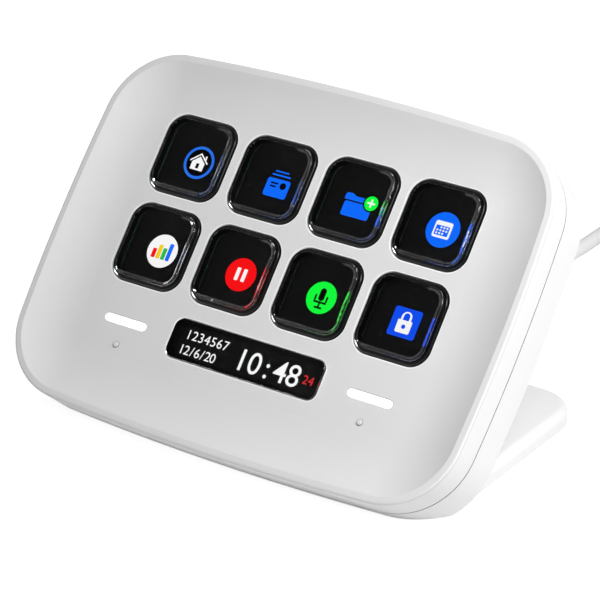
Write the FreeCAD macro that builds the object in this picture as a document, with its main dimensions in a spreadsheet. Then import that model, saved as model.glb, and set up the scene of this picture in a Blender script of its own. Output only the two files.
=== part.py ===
"""A desk keypad with eight display keys, leaning back on a fixed foot.

The head is modelled in its own frame: X to the right, Y up the face, Z out of the face, with the origin at
the centre of its outline on the floor of the dished face. HEAD then leans it back over the foot. In the
part's frame the desk is Z = 0, the user looks along +Y, and the origin is the middle of the non-slip pad.
"""

import FreeCAD, Part
import math
import os
import Sketcher
from FreeCAD import Placement, Rotation, Vector

OUT = "parts"
UP = Vector(0, 0, 1)

# Driving dimensions, in millimetres, degrees and counts.
DIMENSIONS = {
    # Outline of the head, four bowed sides and four round corners
    "side_margin": 14.3,
    "face_height": 78.4,
    "top_bow_radius": 660.0,
    "side_bow_radius": 415.0,
    "corner_radius": 15.5,
    # Front cover, with the depths counted from the floor of the dish
    "rim_height": 2.5,
    "lip_width": 1.5,
    "dish_width": 11.5,
    "cover_side": 4.4,
    "cover_floor": 1.2,
    "wall": 2.0,
    "lip_round": 0.45,
    "lip_inner_round": 0.25,
    "seam_chamfer": 0.2,
    "lap_height": 1.3,
    "lap_wall": 1.0,
    "lap_clearance": 0.15,
    # Rear shell
    "shell_depth": 9.5,
    "shell_round": 1.2,
    # Lean of the head, and how far its cover stays above the underside of the foot
    "lean_angle": 50.0,
    "cover_clearance": 1.043,
    # Key grid
    "columns": 4,
    "rows": 2,
    "pitch_across": 19.6,
    "pitch_up": 19.8,
    "top_margin": 11.5,
    "opening_size": 17.3,
    "opening_round": 4.1,
    "opening_edge": 0.2,
    # Key cap
    "key_clearance": 0.2,
    "key_proud": 0.8,
    "key_step": 0.4,
    "key_step_inset": 0.75,
    "key_step_round": 0.36,
    "key_round": 0.45,
    "key_travel": 0.8,
    "flange_margin": 0.5,
    "flange_thickness": 0.5,
    "core_size": 14.8,
    "core_round": 3.0,
    "stop_gap": 0.1,
    # Collar, mat, contact board and display, from the front backwards
    "collar_height": 1.05,
    "collar_wall": 0.9,
    "collar_inset": 0.35,
    "mat_thickness": 0.35,
    "mat_margin": 1.9,
    "window_size": 15.6,
    "window_round": 3.2,
    "board_thickness": 0.4,
    "board_side_margin": 3.5,
    "board_end_margin": 3.7,
    "board_round": 11.0,
    "display_side_margin": 0.8,
    "display_top_margin": 1.9,
    "display_bottom_margin": 3.65,
    "display_thickness": 2.0,
    "display_round": 1.5,
    "frame_floor": 1.5,
    "frame_fit": 0.25,
    "flex_width": 24.0,
    "flex_height": 5.0,
    # Information bar
    "bar_width": 36.2,
    "bar_height": 8.5,
    "bar_round": 2.0,
    "bar_rise": 20.7,
    "bar_proud": 0.3,
    "bar_edge_round": 0.25,
    "bar_clearance": 0.1,
    "bar_flange": 0.9,
    "bar_core_inset": 1.0,
    "bar_gap": 0.3,
    # Touch strips and the raised dots under them
    "strip_rise": 20.6,
    "strip_length": 10.3,
    "strip_height": 1.8,
    "strip_clearance": 0.05,
    "strip_flange": 0.8,
    "dot_rise": 15.6,
    "dot_radius": 0.6,
    "dot_height": 0.35,
    "dot_round": 0.25,
    "emitter_size": 1.6,
    "emitter_height": 0.5,
    "emitter_pitch": 3.2,
    "light_gap": 0.1,
    # Main board
    "main_side_margin": 9.0,
    "main_end_margin": 8.5,
    "main_up": 2.5,
    "main_thickness": 1.2,
    "main_round": 2.0,
    "standoff_height": 2.0,
    "standoff_radius": 2.2,
    "standoff_margin": 5.0,
    "chip_size": 9.0,
    "chip_height": 1.0,
    "socket_width": 8.0,
    "socket_height": 4.5,
    "socket_depth": 1.0,
    "socket_across": 16.0,
    # Screws
    "case_side_margin": 4.5,
    "case_upper_margin": 4.0,
    "case_lower_margin": 8.0,
    "boss_radius": 2.6,
    "post_radius": 3.1,
    "screw_radius": 1.0,
    "pilot_radius": 1.03,
    "screw_hole_radius": 1.15,
    "pilot_depth": 2.4,
    "screw_head_radius": 1.9,
    "screw_head_height": 1.2,
    "sink_radius": 2.1,
    "sink_depth": 2.6,
    "drive_radius": 0.6,
    "drive_depth": 0.6,
    "tip_gap": 0.3,
    # Stand
    "foot_margin": 5.35,
    "foot_depth": 50.5,
    "foot_thickness": 3.7,
    "foot_round": 1.9,
    "foot_rear_radius": 9.0,
    "bracket_width": 66.0,
    "bracket_rise": 27.0,
    "bracket_thickness": 4.5,
    "bracket_corner": 5.0,
    "bracket_root": 4.0,
    "bracket_sink": 0.2,
    "stand_across": 22.0,
    "stand_lower": 13.0,
    "stand_spacing": 8.0,
    "stand_thread": 3.4,
    # Non-slip pad
    "pad_inset": 3.0,
    "pad_thickness": 1.2,
    "pad_proud": 0.4,
    "pad_round": 6.0,
    # Cable and its strain relief
    "cord_radius": 1.7,
    "gland_up": 5.0,
    "gland_collar_radius": 4.4,
    "gland_collar": 1.2,
    "gland_neck_radius": 2.9,
    "gland_neck_clearance": 0.1,
    "gland_inner_flange": 0.9,
    "gland_length": 14.0,
    "gland_root_radius": 3.4,
    "gland_tip_radius": 2.2,
    "gland_ring_count": 5,
    "gland_ring_pitch": 2.0,
    "gland_ring_width": 0.8,
    "gland_ring_depth": 0.5,
    # Coil of the cable's length that is put away
    "coil_across": 32.5,
    "coil_back": 122.9,
    "coil_inner_radius": 11.4,
    "coil_layers": 4,
    "coil_turns": 3,
    "coil_gap": 0.6,
    "tie_width": 6.0,
    "tie_thickness": 0.6,
    "tie_clearance": 0.1,
    "tie_round": 3.0,
    # Plug
    "plug_length": 24.0,
    "plug_boot_length": 8.0,
    "plug_boot_root": 3.1,
    "plug_boot_tip": 2.2,
    "plug_width": 15.6,
    "plug_height": 8.0,
    "plug_round": 2.2,
    "plug_edge_round": 0.8,
    "plug_shell_length": 13.0,
    "plug_shell_width": 12.0,
    "plug_shell_height": 4.5,
    "plug_shell_wall": 0.35,
    "plug_tongue_height": 1.9,
    "plug_tongue_inset": 1.0,
    "plug_tongue_gap": 0.1,
    "plug_window": 2.2,
    "plug_window_across": 2.6,
    "plug_window_back": 6.0,
}

# Sizes that follow from the ones above, as formulas of the sheet
FORMULAS = {
    "face_width": "pitch_across * columns + 2 * side_margin",
    "head_height": "face_height / 2 * sin(lean_angle * 1 deg) + cover_side * cos(lean_angle * 1 deg)"
                   " + cover_clearance",
    "grid_up": "face_height / 2 - top_margin - pitch_up * rows / 2",
    "bar_down": "face_height / 2 - bar_rise",
    "strip_across": "pitch_across * (columns - 1) / 2",
    "strip_down": "face_height / 2 - strip_rise",
    "dot_down": "face_height / 2 - dot_rise",
    "board_width": "face_width - 2 * (wall + board_side_margin)",
    "board_height": "face_height - 2 * (wall + board_end_margin)",
    "display_width": "pitch_across * columns + 2 * display_side_margin",
    "display_top": "grid_up + pitch_up * rows / 2 + display_top_margin",
    "display_bottom": "bar_down + bar_height / 2 + display_bottom_margin",
    "display_height": "display_top + display_bottom",
    "display_up": "(display_top - display_bottom) / 2",
    "main_width": "board_width - 2 * main_side_margin",
    "main_height": "board_height - 2 * main_end_margin",
    "standoff_across": "main_width / 2 - standoff_margin",
    "standoff_up": "main_height / 2 - standoff_margin",
    "case_across": "board_width / 2 - case_side_margin",
    "case_upper": "board_height / 2 - case_upper_margin",
    "case_lower": "board_height / 2 - case_lower_margin",
    "foot_width": "face_width - 2 * foot_margin",
}

SHEET = "Sizes"


class Size:
    """A number kept together with the sheet expression that gives it."""

    def __init__(self, value, text):
        self.value = value
        self.text = text

    def __add__(self, other):
        other = as_size(other)
        return Size(self.value + other.value, f"({self.text} + {other.text})")

    def __sub__(self, other):
        other = as_size(other)
        return Size(self.value - other.value, f"({self.text} - {other.text})")

    def __mul__(self, other):
        other = as_size(other)
        return Size(self.value * other.value, f"({self.text} * {other.text})")

    def __truediv__(self, other):
        other = as_size(other)
        return Size(self.value / other.value, f"({self.text} / {other.text})")

    def __neg__(self):
        return Size(-self.value, f"(0 - {self.text})")

    def __radd__(self, other):
        return as_size(other) + self

    def __rsub__(self, other):
        return as_size(other) - self


def as_size(number):
    if isinstance(number, Size):
        return number
    return Size(float(number), repr(float(number)))


doc = FreeCAD.newDocument("keypad")
sheet = doc.addObject("Spreadsheet::Sheet", SHEET)
cells = {alias: str(number) for alias, number in DIMENSIONS.items()}
cells.update({alias: f"={formula}" for alias, formula in FORMULAS.items()})
for row, (alias, content) in enumerate(cells.items(), start=1):
    sheet.set(f"A{row}", alias)
    sheet.set(f"B{row}", content)
    sheet.setAlias(f"B{row}", alias)
doc.recompute()
size = {alias: Size(float(sheet.get(alias)), f"{SHEET}.{alias}") for alias in cells}

# Levels in the head's frame, each behind the floor of the dish, which is zero
COVER_BACK = size["cover_floor"]
FLANGE_BACK = COVER_BACK + size["flange_thickness"]
MAT_FRONT = FLANGE_BACK + size["collar_height"]
BOARD_FRONT = MAT_FRONT + size["mat_thickness"]
DISPLAY_FRONT = BOARD_FRONT + size["board_thickness"]
FRAME_BACK = DISPLAY_FRONT + size["display_thickness"] + size["frame_floor"]
MAIN_FRONT = FRAME_BACK + size["standoff_height"]
MAIN_BACK = MAIN_FRONT + size["main_thickness"]
SEAM = size["cover_side"]
SHELL_BACK = SEAM + size["shell_depth"]
SHELL_INNER = SHELL_BACK - size["wall"]

# The plane of the foot's underside, seen from the head's frame, and the head's place over the desk
LEAN = math.radians(size["lean_angle"].value)
HEAD_Z = size["pad_proud"].value + size["head_height"].value
BACK_AT_FOOT = (size["head_height"].value - SHELL_BACK.value * math.cos(LEAN)) / math.tan(LEAN)
HEAD_Y = -size["foot_depth"].value / 2 - SHELL_BACK.value * math.sin(LEAN) + BACK_AT_FOOT
HEAD = Placement(Vector(0, HEAD_Y, HEAD_Z), Rotation(Vector(1, 0, 0), size["lean_angle"].value))


def foot_plane_y(behind):
    """The height up the face at which the foot's underside cuts a level behind the dish floor."""
    return (behind * math.cos(LEAN) - size["head_height"].value) / math.sin(LEAN)


def origin_plane(body, role):
    return next(item for item in body.Origin.OriginFeatures if item.Role == role)


def new_body(name, placement=HEAD):
    body = doc.addObject("PartDesign::Body", name)
    body.Label = name
    body.Placement = placement
    return body


def new_sketch(body, name, behind=0.0, across=0.0, up=0.0, role="XY_Plane"):
    """A sketch on an origin plane of its body, moved within the plane and behind it."""
    sketch = body.newObject("Sketcher::SketchObject", name)
    sketch.AttachmentSupport = [(origin_plane(body, role), "")]
    sketch.MapMode = "FlatFace"
    for axis, offset in (("x", as_size(across)), ("y", as_size(up)), ("z", -as_size(behind))):
        sketch.setExpression(f"AttachmentOffset.Base.{axis}", offset.text)
    return sketch


def drive(sketch, kind, places, length):
    """Adds a dimension to a sketch and ties it to the sheet."""
    length = as_size(length)
    index = sketch.addConstraint(Sketcher.Constraint(kind, *places, length.value))
    sketch.setExpression(f"Constraints[{index}]", length.text)


def tie(feature, **lengths):
    """Ties properties of a feature to the sheet."""
    for name, length in lengths.items():
        feature.setExpression(name, as_size(length).text)


def rounded_rectangle(sketch, width, height, radius):
    """A rectangle with round corners, centred on the sketch's origin."""
    width, height, radius = as_size(width), as_size(height), as_size(radius)
    x, y, r = width.value / 2, height.value / 2, radius.value
    corners = [(x - r, y - r), (r - x, y - r), (r - x, r - y), (x - r, r - y)]
    edges = []
    for number, (cx, cy) in enumerate(corners):
        start = number * math.pi / 2
        circle = Part.Circle(Vector(cx, cy, 0), UP, r)
        edges.append(sketch.addGeometry(Part.ArcOfCircle(circle, start, start + math.pi / 2), False))
        after = corners[(number + 1) % 4]
        turn = start + math.pi / 2
        outward = Vector(math.cos(turn), math.sin(turn), 0) * r
        line = Part.LineSegment(Vector(cx, cy, 0) + outward, Vector(*after, 0) + outward)
        edges.append(sketch.addGeometry(line, False))
    for number in range(8):
        places = (edges[number], 2, edges[(number + 1) % 8], 1)
        sketch.addConstraint(Sketcher.Constraint("Tangent", *places))
    for number, direction in ((1, "Horizontal"), (3, "Vertical"), (5, "Horizontal"), (7, "Vertical")):
        sketch.addConstraint(Sketcher.Constraint(direction, edges[number]))
    for number in (2, 4, 6):
        sketch.addConstraint(Sketcher.Constraint("Equal", edges[0], edges[number]))
    sketch.addConstraint(Sketcher.Constraint("Symmetric", edges[0], 3, edges[4], 3, -1, 1))
    drive(sketch, "Radius", (edges[0],), radius)
    drive(sketch, "DistanceX", (edges[2], 3, edges[0], 3), width - radius * 2)
    drive(sketch, "DistanceY", (edges[6], 3, edges[0], 3), height - radius * 2)


def slot(sketch, length, height):
    """A slot with round ends along X, centred on the sketch's origin."""
    length, height = as_size(length), as_size(height)
    reach, r = (length.value - height.value) / 2, height.value / 2
    right = Part.ArcOfCircle(Part.Circle(Vector(reach, 0, 0), UP, r), -math.pi / 2, math.pi / 2)
    left = Part.ArcOfCircle(Part.Circle(Vector(-reach, 0, 0), UP, r), math.pi / 2, 3 * math.pi / 2)
    edges = [
        sketch.addGeometry(right, False),
        sketch.addGeometry(Part.LineSegment(Vector(reach, r, 0), Vector(-reach, r, 0)), False),
        sketch.addGeometry(left, False),
        sketch.addGeometry(Part.LineSegment(Vector(-reach, -r, 0), Vector(reach, -r, 0)), False),
    ]
    for number in range(4):
        places = (edges[number], 2, edges[(number + 1) % 4], 1)
        sketch.addConstraint(Sketcher.Constraint("Tangent", *places))
    sketch.addConstraint(Sketcher.Constraint("Horizontal", edges[1]))
    sketch.addConstraint(Sketcher.Constraint("Symmetric", edges[0], 3, edges[2], 3, -1, 1))
    drive(sketch, "Radius", (edges[0],), height / 2)
    drive(sketch, "DistanceX", (edges[2], 3, edges[0], 3), length - height)


def circle(sketch, radius, across=0.0, up=0.0):
    """A circle at a place given by its distances from the sketch's origin."""
    across, up, radius = as_size(across), as_size(up), as_size(radius)
    centre = Vector(across.value, up.value, 0)
    ring = sketch.addGeometry(Part.Circle(centre, UP, radius.value), False)
    drive(sketch, "Radius", (ring,), radius)
    for kind, offset in (("DistanceX", across), ("DistanceY", up)):
        if offset.value > 0:
            drive(sketch, kind, (-1, 1, ring, 3), offset)
        elif offset.value < 0:
            drive(sketch, kind, (ring, 3, -1, 1), -offset)
        else:
            axis = -2 if kind == "DistanceX" else -1
            sketch.addConstraint(Sketcher.Constraint("PointOnObject", ring, 3, axis))


def closed_polygon(sketch, points):
    """Straight edges through the points, each corner fixed by its two sizes."""
    lines = []
    for number, (x, y) in enumerate(points):
        after = points[(number + 1) % len(points)]
        ends = (Vector(x.value, y.value, 0), Vector(after[0].value, after[1].value, 0))
        lines.append(sketch.addGeometry(Part.LineSegment(*ends), False))
    for number, line in enumerate(lines):
        places = (line, 2, lines[(number + 1) % len(lines)], 1)
        sketch.addConstraint(Sketcher.Constraint("Coincident", *places))
    for line, (x, y) in zip(lines, points):
        for kind, offset, axis in (("DistanceX", x, -2), ("DistanceY", y, -1)):
            if offset.value > 0:
                drive(sketch, kind, (-1, 1, line, 1), offset)
            elif offset.value < 0:
                drive(sketch, kind, (line, 1, -1, 1), -offset)
            else:
                sketch.addConstraint(Sketcher.Constraint("PointOnObject", line, 1, axis))


def bowed_centres(half_width, half_height, top_radius, side_radius, corner):
    """The centres of the top side, the right side and the corner between them, and the corner's ends."""
    top = Vector(0, half_height - top_radius, 0)
    side = Vector(half_width - side_radius, 0, 0)
    apart = (side - top).Length
    along = (side - top) * (1 / apart)
    to_top, to_side = top_radius - corner, side_radius - corner
    reach = (apart**2 + to_top**2 - to_side**2) / (2 * apart)
    rise = math.sqrt(to_top**2 - reach**2)
    middle = top + along * reach + Vector(along.y, -along.x, 0) * rise
    top_angle = math.atan2((middle - top).y, (middle - top).x)
    side_angle = math.atan2((middle - side).y, (middle - side).x)
    return top, side, middle, top_angle, side_angle


def bowed_outline(sketch, inset=0.0, split_top=False):
    """The head's outline, drawn in by an inset: eight arcs, each tangent to the next."""
    inset = as_size(inset)
    half_width = size["face_width"] / 2 - inset
    half_height = size["face_height"] / 2 - inset
    top_radius = size["top_bow_radius"] - inset
    side_radius = size["side_bow_radius"] - inset
    corner = size["corner_radius"] - inset
    numbers = [item.value for item in (half_width, half_height, top_radius, side_radius, corner)]
    top, side, middle, top_angle, side_angle = bowed_centres(*numbers)
    half = math.pi
    arcs = [
        (side, side_radius, -side_angle, side_angle),
        (middle, corner, side_angle, top_angle),
        (top, top_radius, top_angle, half - top_angle),
        (Vector(-middle.x, middle.y, 0), corner, half - top_angle, half - side_angle),
        (-side, side_radius, half - side_angle, half + side_angle),
        (-middle, corner, half + side_angle, half + top_angle),
        (-top, top_radius, half + top_angle, 2 * half - top_angle),
        (Vector(middle.x, -middle.y, 0), corner, 2 * half - top_angle, 2 * half - side_angle),
    ]
    if split_top:
        arcs = [
            (top, top_radius, half / 2, half - top_angle),
            *arcs[3:],
            *arcs[:2],
            (top, top_radius, top_angle, half / 2),
        ]
    edges = []
    for centre, radius, start, end in arcs:
        ring = Part.Circle(centre, UP, radius.value)
        edges.append(sketch.addGeometry(Part.ArcOfCircle(ring, start, end), False))
    count = len(edges)
    for number, edge in enumerate(edges):
        places = (edge, 2, edges[(number + 1) % count], 1)
        sketch.addConstraint(Sketcher.Constraint("Tangent", *places))
    sides = [edges[number] for number, arc in enumerate(arcs) if arc[1] is side_radius]
    tops = [edges[number] for number, arc in enumerate(arcs) if arc[1] is top_radius]
    corners = [edges[number] for number, arc in enumerate(arcs) if arc[1] is corner]
    bottom = next(edges[n] for n, arc in enumerate(arcs) if arc[1] is top_radius and arc[0].y > 0)
    upper = next(edge for edge in tops if edge != bottom)
    right = next(edges[n] for n, arc in enumerate(arcs) if arc[1] is side_radius and arc[0].x < 0)
    left = next(edge for edge in sides if edge != right)
    for edge in (left, right):
        sketch.addConstraint(Sketcher.Constraint("PointOnObject", edge, 3, -1))
    for edge in (upper, bottom):
        sketch.addConstraint(Sketcher.Constraint("PointOnObject", edge, 3, -2))
    if split_top:
        sketch.addConstraint(Sketcher.Constraint("PointOnObject", upper, 1, -2))
    sketch.addConstraint(Sketcher.Constraint("Equal", left, right))
    sketch.addConstraint(Sketcher.Constraint("Equal", upper, bottom))
    for edge in corners[1:]:
        sketch.addConstraint(Sketcher.Constraint("Equal", corners[0], edge))
    drive(sketch, "Radius", (right,), side_radius)
    drive(sketch, "Radius", (upper,), top_radius)
    drive(sketch, "Radius", (corners[0],), corner)
    drive(sketch, "DistanceX", (right, 3, -1, 1), side_radius - half_width)
    drive(sketch, "DistanceX", (-1, 1, left, 3), side_radius - half_width)
    drive(sketch, "DistanceY", (upper, 3, -1, 1), top_radius - half_height)
    drive(sketch, "DistanceY", (-1, 1, bottom, 3), top_radius - half_height)
    return count


def pad(body, sketch, length, name, backwards=False):
    """Adds material from the sketch, outwards or backwards."""
    feature = body.newObject("PartDesign::Pad", name)
    feature.Profile = sketch
    feature.Reversed = backwards
    tie(feature, Length=length)
    return feature


def volume(body):
    doc.recompute()
    return body.Shape.Volume


def pocket(body, sketch, name, length=None, outwards=False):
    """Cuts from the sketch's plane, backwards or outwards, or right through both ways."""
    before = volume(body)
    feature = body.newObject("PartDesign::Pocket", name)
    feature.Profile = sketch
    if length is None:
        feature.Type = "ThroughAll"
        feature.Midplane = True
    else:
        feature.Reversed = outwards
        tie(feature, Length=length)
    if volume(body) >= before - 1e-6:
        raise RuntimeError(f"{name} cuts nothing")
    return feature


def edges_at(body, test):
    """The names of the edges that pass the test, for a fillet or chamfer."""
    doc.recompute()
    return [f"Edge{n}" for n, edge in enumerate(body.Tip.Shape.Edges, start=1) if test(edge)]


def lies_at(edge, axis, value, within=1e-4):
    low = getattr(edge.BoundBox, f"{axis}Min")
    high = getattr(edge.BoundBox, f"{axis}Max")
    return abs(low - value) < within and abs(high - value) < within


def round_off(body, name, radius, test, kind="PartDesign::Fillet"):
    names = edges_at(body, test)
    if not names:
        raise RuntimeError(f"{name} finds no edge")
    base = body.Tip
    feature = body.newObject(kind, name)
    feature.Base = (base, names)
    if kind == "PartDesign::Fillet":
        tie(feature, Radius=radius)
    else:
        tie(feature, Size=radius)
    return feature


def mirror(body, originals, name):
    """Repeats features on the other side of the head's middle."""
    feature = body.newObject("PartDesign::Mirrored", name)
    feature.Originals = originals
    feature.MirrorPlane = (origin_plane(body, "YZ_Plane"), [""])
    body.Tip = feature
    return feature


def grid(body, originals, name):
    """Repeats features over the columns and rows of the key grid, from its lower left key."""
    feature = body.newObject("PartDesign::MultiTransform", name)
    feature.Originals = originals
    steps = []
    for axis, count, pitch in (("X_Axis", "columns", "pitch_across"), ("Y_Axis", "rows", "pitch_up")):
        step = body.newObject("PartDesign::LinearPattern", f"{name}_{count}")
        step.Direction = (origin_plane(body, axis), [""])
        tie(step, Length=size[pitch] * (size[count] - 1), Occurrences=size[count])
        steps.append(step)
    feature.Transformations = steps
    body.Tip = feature
    return feature


FIRST_ACROSS = -size["pitch_across"] * (size["columns"] - 1) / 2
FIRST_UP = size["grid_up"] - size["pitch_up"] * (size["rows"] - 1) / 2


def key_places():
    """The centre of each key on the face, row by row from the top left."""
    for row in range(DIMENSIONS["rows"]):
        for column in range(DIMENSIONS["columns"]):
            across = FIRST_ACROSS + size["pitch_across"] * column
            up = FIRST_UP + size["pitch_up"] * (DIMENSIONS["rows"] - 1 - row)
            yield Vector(across.value, up.value, 0)


def case_screw_places():
    for across in (size["case_across"], -size["case_across"]):
        for up in (size["case_upper"], -size["case_lower"]):
            yield across, up


def at_case_screws(sketch, radius):
    for across, up in case_screw_places():
        circle(sketch, radius, across, up)


def front_cover():
    body = new_body("front_cover")
    outline = new_sketch(body, "cover_outline", SEAM)
    bowed_outline(outline)
    pad(body, outline, SEAM + size["rim_height"], "cover_block")

    rail = new_sketch(body, "dish_rail")
    count = bowed_outline(rail, split_top=True)
    section = new_sketch(body, "dish_section", role="YZ_Plane")
    dish_profile(section)
    doc.recompute()
    dish = body.newObject("PartDesign::SubtractivePipe", "dish")
    dish.Profile = section
    dish.Spine = (rail, [f"Edge{n}" for n in range(1, count + 1)])
    dish.Mode = "Frenet"
    doc.recompute()
    floor = new_sketch(body, "dish_floor_outline")
    bowed_outline(floor, size["lip_width"] + size["dish_width"])
    pocket(body, floor, "dish_floor", size["rim_height"] * 2, outwards=True)

    cavity = new_sketch(body, "cavity_outline", SEAM)
    bowed_outline(cavity, size["wall"])
    pocket(body, cavity, "cavity", SEAM - COVER_BACK, outwards=True)
    lap = new_sketch(body, "lap_outline", SEAM)
    bowed_outline(lap, size["lap_wall"])
    pocket(body, lap, "lap", size["lap_height"], outwards=True)

    opening = new_sketch(body, "key_opening_outline", 0, FIRST_ACROSS, FIRST_UP)
    rounded_rectangle(opening, size["opening_size"], size["opening_size"], size["opening_round"])
    grid(body, [pocket(body, opening, "key_opening")], "key_openings")
    bar = new_sketch(body, "bar_opening_outline", 0, 0, -size["bar_down"])
    rounded_rectangle(bar, size["bar_width"], size["bar_height"], size["bar_round"])
    pocket(body, bar, "bar_opening")
    strip = new_sketch(body, "strip_opening_outline", 0, -size["strip_across"], -size["strip_down"])
    slot(strip, size["strip_length"], size["strip_height"])
    mirror(body, [pocket(body, strip, "strip_opening")], "strip_openings")
    floor_inset = (size["lip_width"] + size["dish_width"]).value
    round_off(body, "opening_edges", size["opening_edge"],
              lambda e: lies_at(e, "Z", 0) and outline_distance(e, floor_inset) > 0.1)
    dots = new_sketch(body, "dot_outline", size["cover_floor"] / 2)
    for across in (size["strip_across"], -size["strip_across"]):
        circle(dots, size["dot_radius"], across, -size["dot_down"])
    pad(body, dots, size["cover_floor"] / 2 + size["dot_height"], "dots")
    dot_top = size["dot_height"].value
    round_off(body, "dot_rounds", size["dot_round"], lambda e: lies_at(e, "Z", dot_top))

    bosses = new_sketch(body, "boss_outline", BOARD_FRONT)
    at_case_screws(bosses, size["boss_radius"])
    pad(body, bosses, BOARD_FRONT - size["cover_floor"] / 2, "bosses")
    pilots = new_sketch(body, "pilot_outline", BOARD_FRONT)
    at_case_screws(pilots, size["pilot_radius"])
    pocket(body, pilots, "pilots", size["pilot_depth"], outwards=True)

    rim = size["rim_height"].value

    def on_rim(edge):
        return lies_at(edge, "Z", rim)

    def is_outer(edge):
        return outline_distance(edge, 0.0) < 1e-3

    round_off(body, "lip_round", size["lip_round"], lambda e: on_rim(e) and is_outer(e))
    round_off(body, "lip_inner_round", size["lip_inner_round"],
              lambda e: on_rim(e) and outline_distance(e, size["lip_width"].value) < 1e-3)
    round_off(body, "seam_chamfer", size["seam_chamfer"],
              lambda e: lies_at(e, "Z", -SEAM.value) and is_outer(e), "PartDesign::Chamfer")


def outline_distance(edge, inset):
    """How far an edge's middle lies from the head's outline drawn in by the inset."""
    middle = edge.valueAt((edge.FirstParameter + edge.LastParameter) / 2)
    numbers = [
        size["face_width"].value / 2 - inset,
        size["face_height"].value / 2 - inset,
        size["top_bow_radius"].value - inset,
        size["side_bow_radius"].value - inset,
        size["corner_radius"].value - inset,
    ]
    top, side, corner, _, _ = bowed_centres(*numbers)
    point = Vector(abs(middle.x), abs(middle.y), 0)
    return min(abs((point - top).Length - numbers[2]),
               abs((point - side).Length - numbers[3]),
               abs((point - corner).Length - numbers[4]))


def dish_profile(sketch):
    """The cut's section: an arc that leaves the floor level and meets the lip, closed above the rim."""
    wide, deep = size["dish_width"], size["rim_height"]
    inner = size["face_height"] / 2 - size["lip_width"] - wide
    outer = inner + wide
    radius = (wide * wide + deep * deep) / (deep * 2)
    sweep = math.asin(wide.value / radius.value)
    centre = Vector(inner.value, radius.value, 0)
    low = -math.pi / 2
    clear = deep * 2
    arc = sketch.addGeometry(
        Part.ArcOfCircle(Part.Circle(centre, UP, radius.value), low, low + sweep), False)
    corners = [
        Vector(outer.value, deep.value, 0),
        Vector(outer.value, clear.value, 0),
        Vector(inner.value, clear.value, 0),
        Vector(inner.value, 0, 0),
    ]
    lines = [sketch.addGeometry(Part.LineSegment(corners[n], corners[n + 1]), False) for n in range(3)]
    chain = [arc, *lines]
    for number, edge in enumerate(chain):
        places = (edge, 2, chain[(number + 1) % 4], 1)
        sketch.addConstraint(Sketcher.Constraint("Coincident", *places))
    sketch.addConstraint(Sketcher.Constraint("Vertical", lines[0]))
    sketch.addConstraint(Sketcher.Constraint("Horizontal", lines[1]))
    sketch.addConstraint(Sketcher.Constraint("Vertical", lines[2]))
    sketch.addConstraint(Sketcher.Constraint("PointOnObject", arc, 1, -1))
    drive(sketch, "Radius", (arc,), radius)
    drive(sketch, "DistanceX", (-1, 1, arc, 1), inner)
    drive(sketch, "DistanceX", (-1, 1, arc, 3), inner)
    drive(sketch, "DistanceX", (-1, 1, arc, 2), outer)
    drive(sketch, "DistanceY", (-1, 1, lines[1], 1), clear)


def rear_shell():
    body = new_body("rear_shell")
    outline = new_sketch(body, "shell_outline", SEAM)
    bowed_outline(outline)
    pad(body, outline, size["shell_depth"], "shell_block", backwards=True)
    base = new_sketch(body, "base_cut_outline", role="YZ_Plane")
    front, back = SEAM.value / 2, SHELL_BACK.value * 2
    far = -size["face_height"].value
    for start, end in (
        ((foot_plane_y(front), -front), (foot_plane_y(back), -back)),
        ((foot_plane_y(back), -back), (far, -back)),
        ((far, -back), (far, -front)),
        ((far, -front), (foot_plane_y(front), -front)),
    ):
        base.addGeometry(Part.LineSegment(Vector(*start, 0), Vector(*end, 0)), False)
    cut = pocket(body, base, "base_cut")

    doc.recompute()
    seam = -SEAM.value
    open_face = next(n for n, face in enumerate(body.Tip.Shape.Faces, start=1)
                     if abs(face.BoundBox.ZMin - seam) < 1e-4 and abs(face.BoundBox.ZMax - seam) < 1e-4)
    hollow = body.newObject("PartDesign::Thickness", "hollow")
    hollow.Base = (cut, [f"Face{open_face}"])
    hollow.Reversed = True
    tie(hollow, Value=size["wall"])
    doc.recompute()
    back_level = -SHELL_BACK.value
    round_off(body, "back_round", size["shell_round"], lambda e: lies_at(e, "Z", back_level))

    lap = new_sketch(body, "lap_ring", SEAM)
    bowed_outline(lap, size["lap_wall"] + size["lap_clearance"])
    bowed_outline(lap, size["wall"])
    pad(body, lap, size["lap_height"] - size["lap_clearance"], "lap")

    posts = new_sketch(body, "post_outline", FRAME_BACK)
    at_case_screws(posts, size["post_radius"])
    pad(body, posts, SHELL_INNER + size["wall"] / 2 - FRAME_BACK, "posts", backwards=True)
    sinks = new_sketch(body, "sink_outline", SHELL_BACK)
    at_case_screws(sinks, size["sink_radius"])
    pocket(body, sinks, "sinks", size["sink_depth"], outwards=True)
    holes = new_sketch(body, "post_hole_outline", SHELL_BACK)
    at_case_screws(holes, size["screw_hole_radius"])
    pocket(body, holes, "post_holes")

    stand = new_sketch(body, "stand_hole_outline", SHELL_BACK)
    at_stand_screws(stand, size["screw_hole_radius"])
    pocket(body, stand, "stand_holes", size["wall"] * 2, outwards=True)
    cable = new_sketch(body, "cable_hole_outline", SHELL_BACK)
    circle(cable, size["gland_neck_radius"] + size["gland_neck_clearance"], 0, size["gland_up"])
    pocket(body, cable, "cable_hole", size["wall"] * 2, outwards=True)
    round_off(body, "seam_chamfer", size["seam_chamfer"],
              lambda e: lies_at(e, "Z", seam) and outline_distance(e, 0.0) < 1e-3, "PartDesign::Chamfer")


# The stand's screws, up the face from the line where the shell's back meets the foot's underside
STAND_LINE = as_size(foot_plane_y(SHELL_BACK.value))


def stand_screw_places():
    for across in (size["stand_across"], -size["stand_across"]):
        for step in (0, 1):
            yield across, STAND_LINE + size["stand_lower"] + size["stand_spacing"] * step


def at_stand_screws(sketch, radius):
    for across, up in stand_screw_places():
        circle(sketch, radius, across, up)


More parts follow.
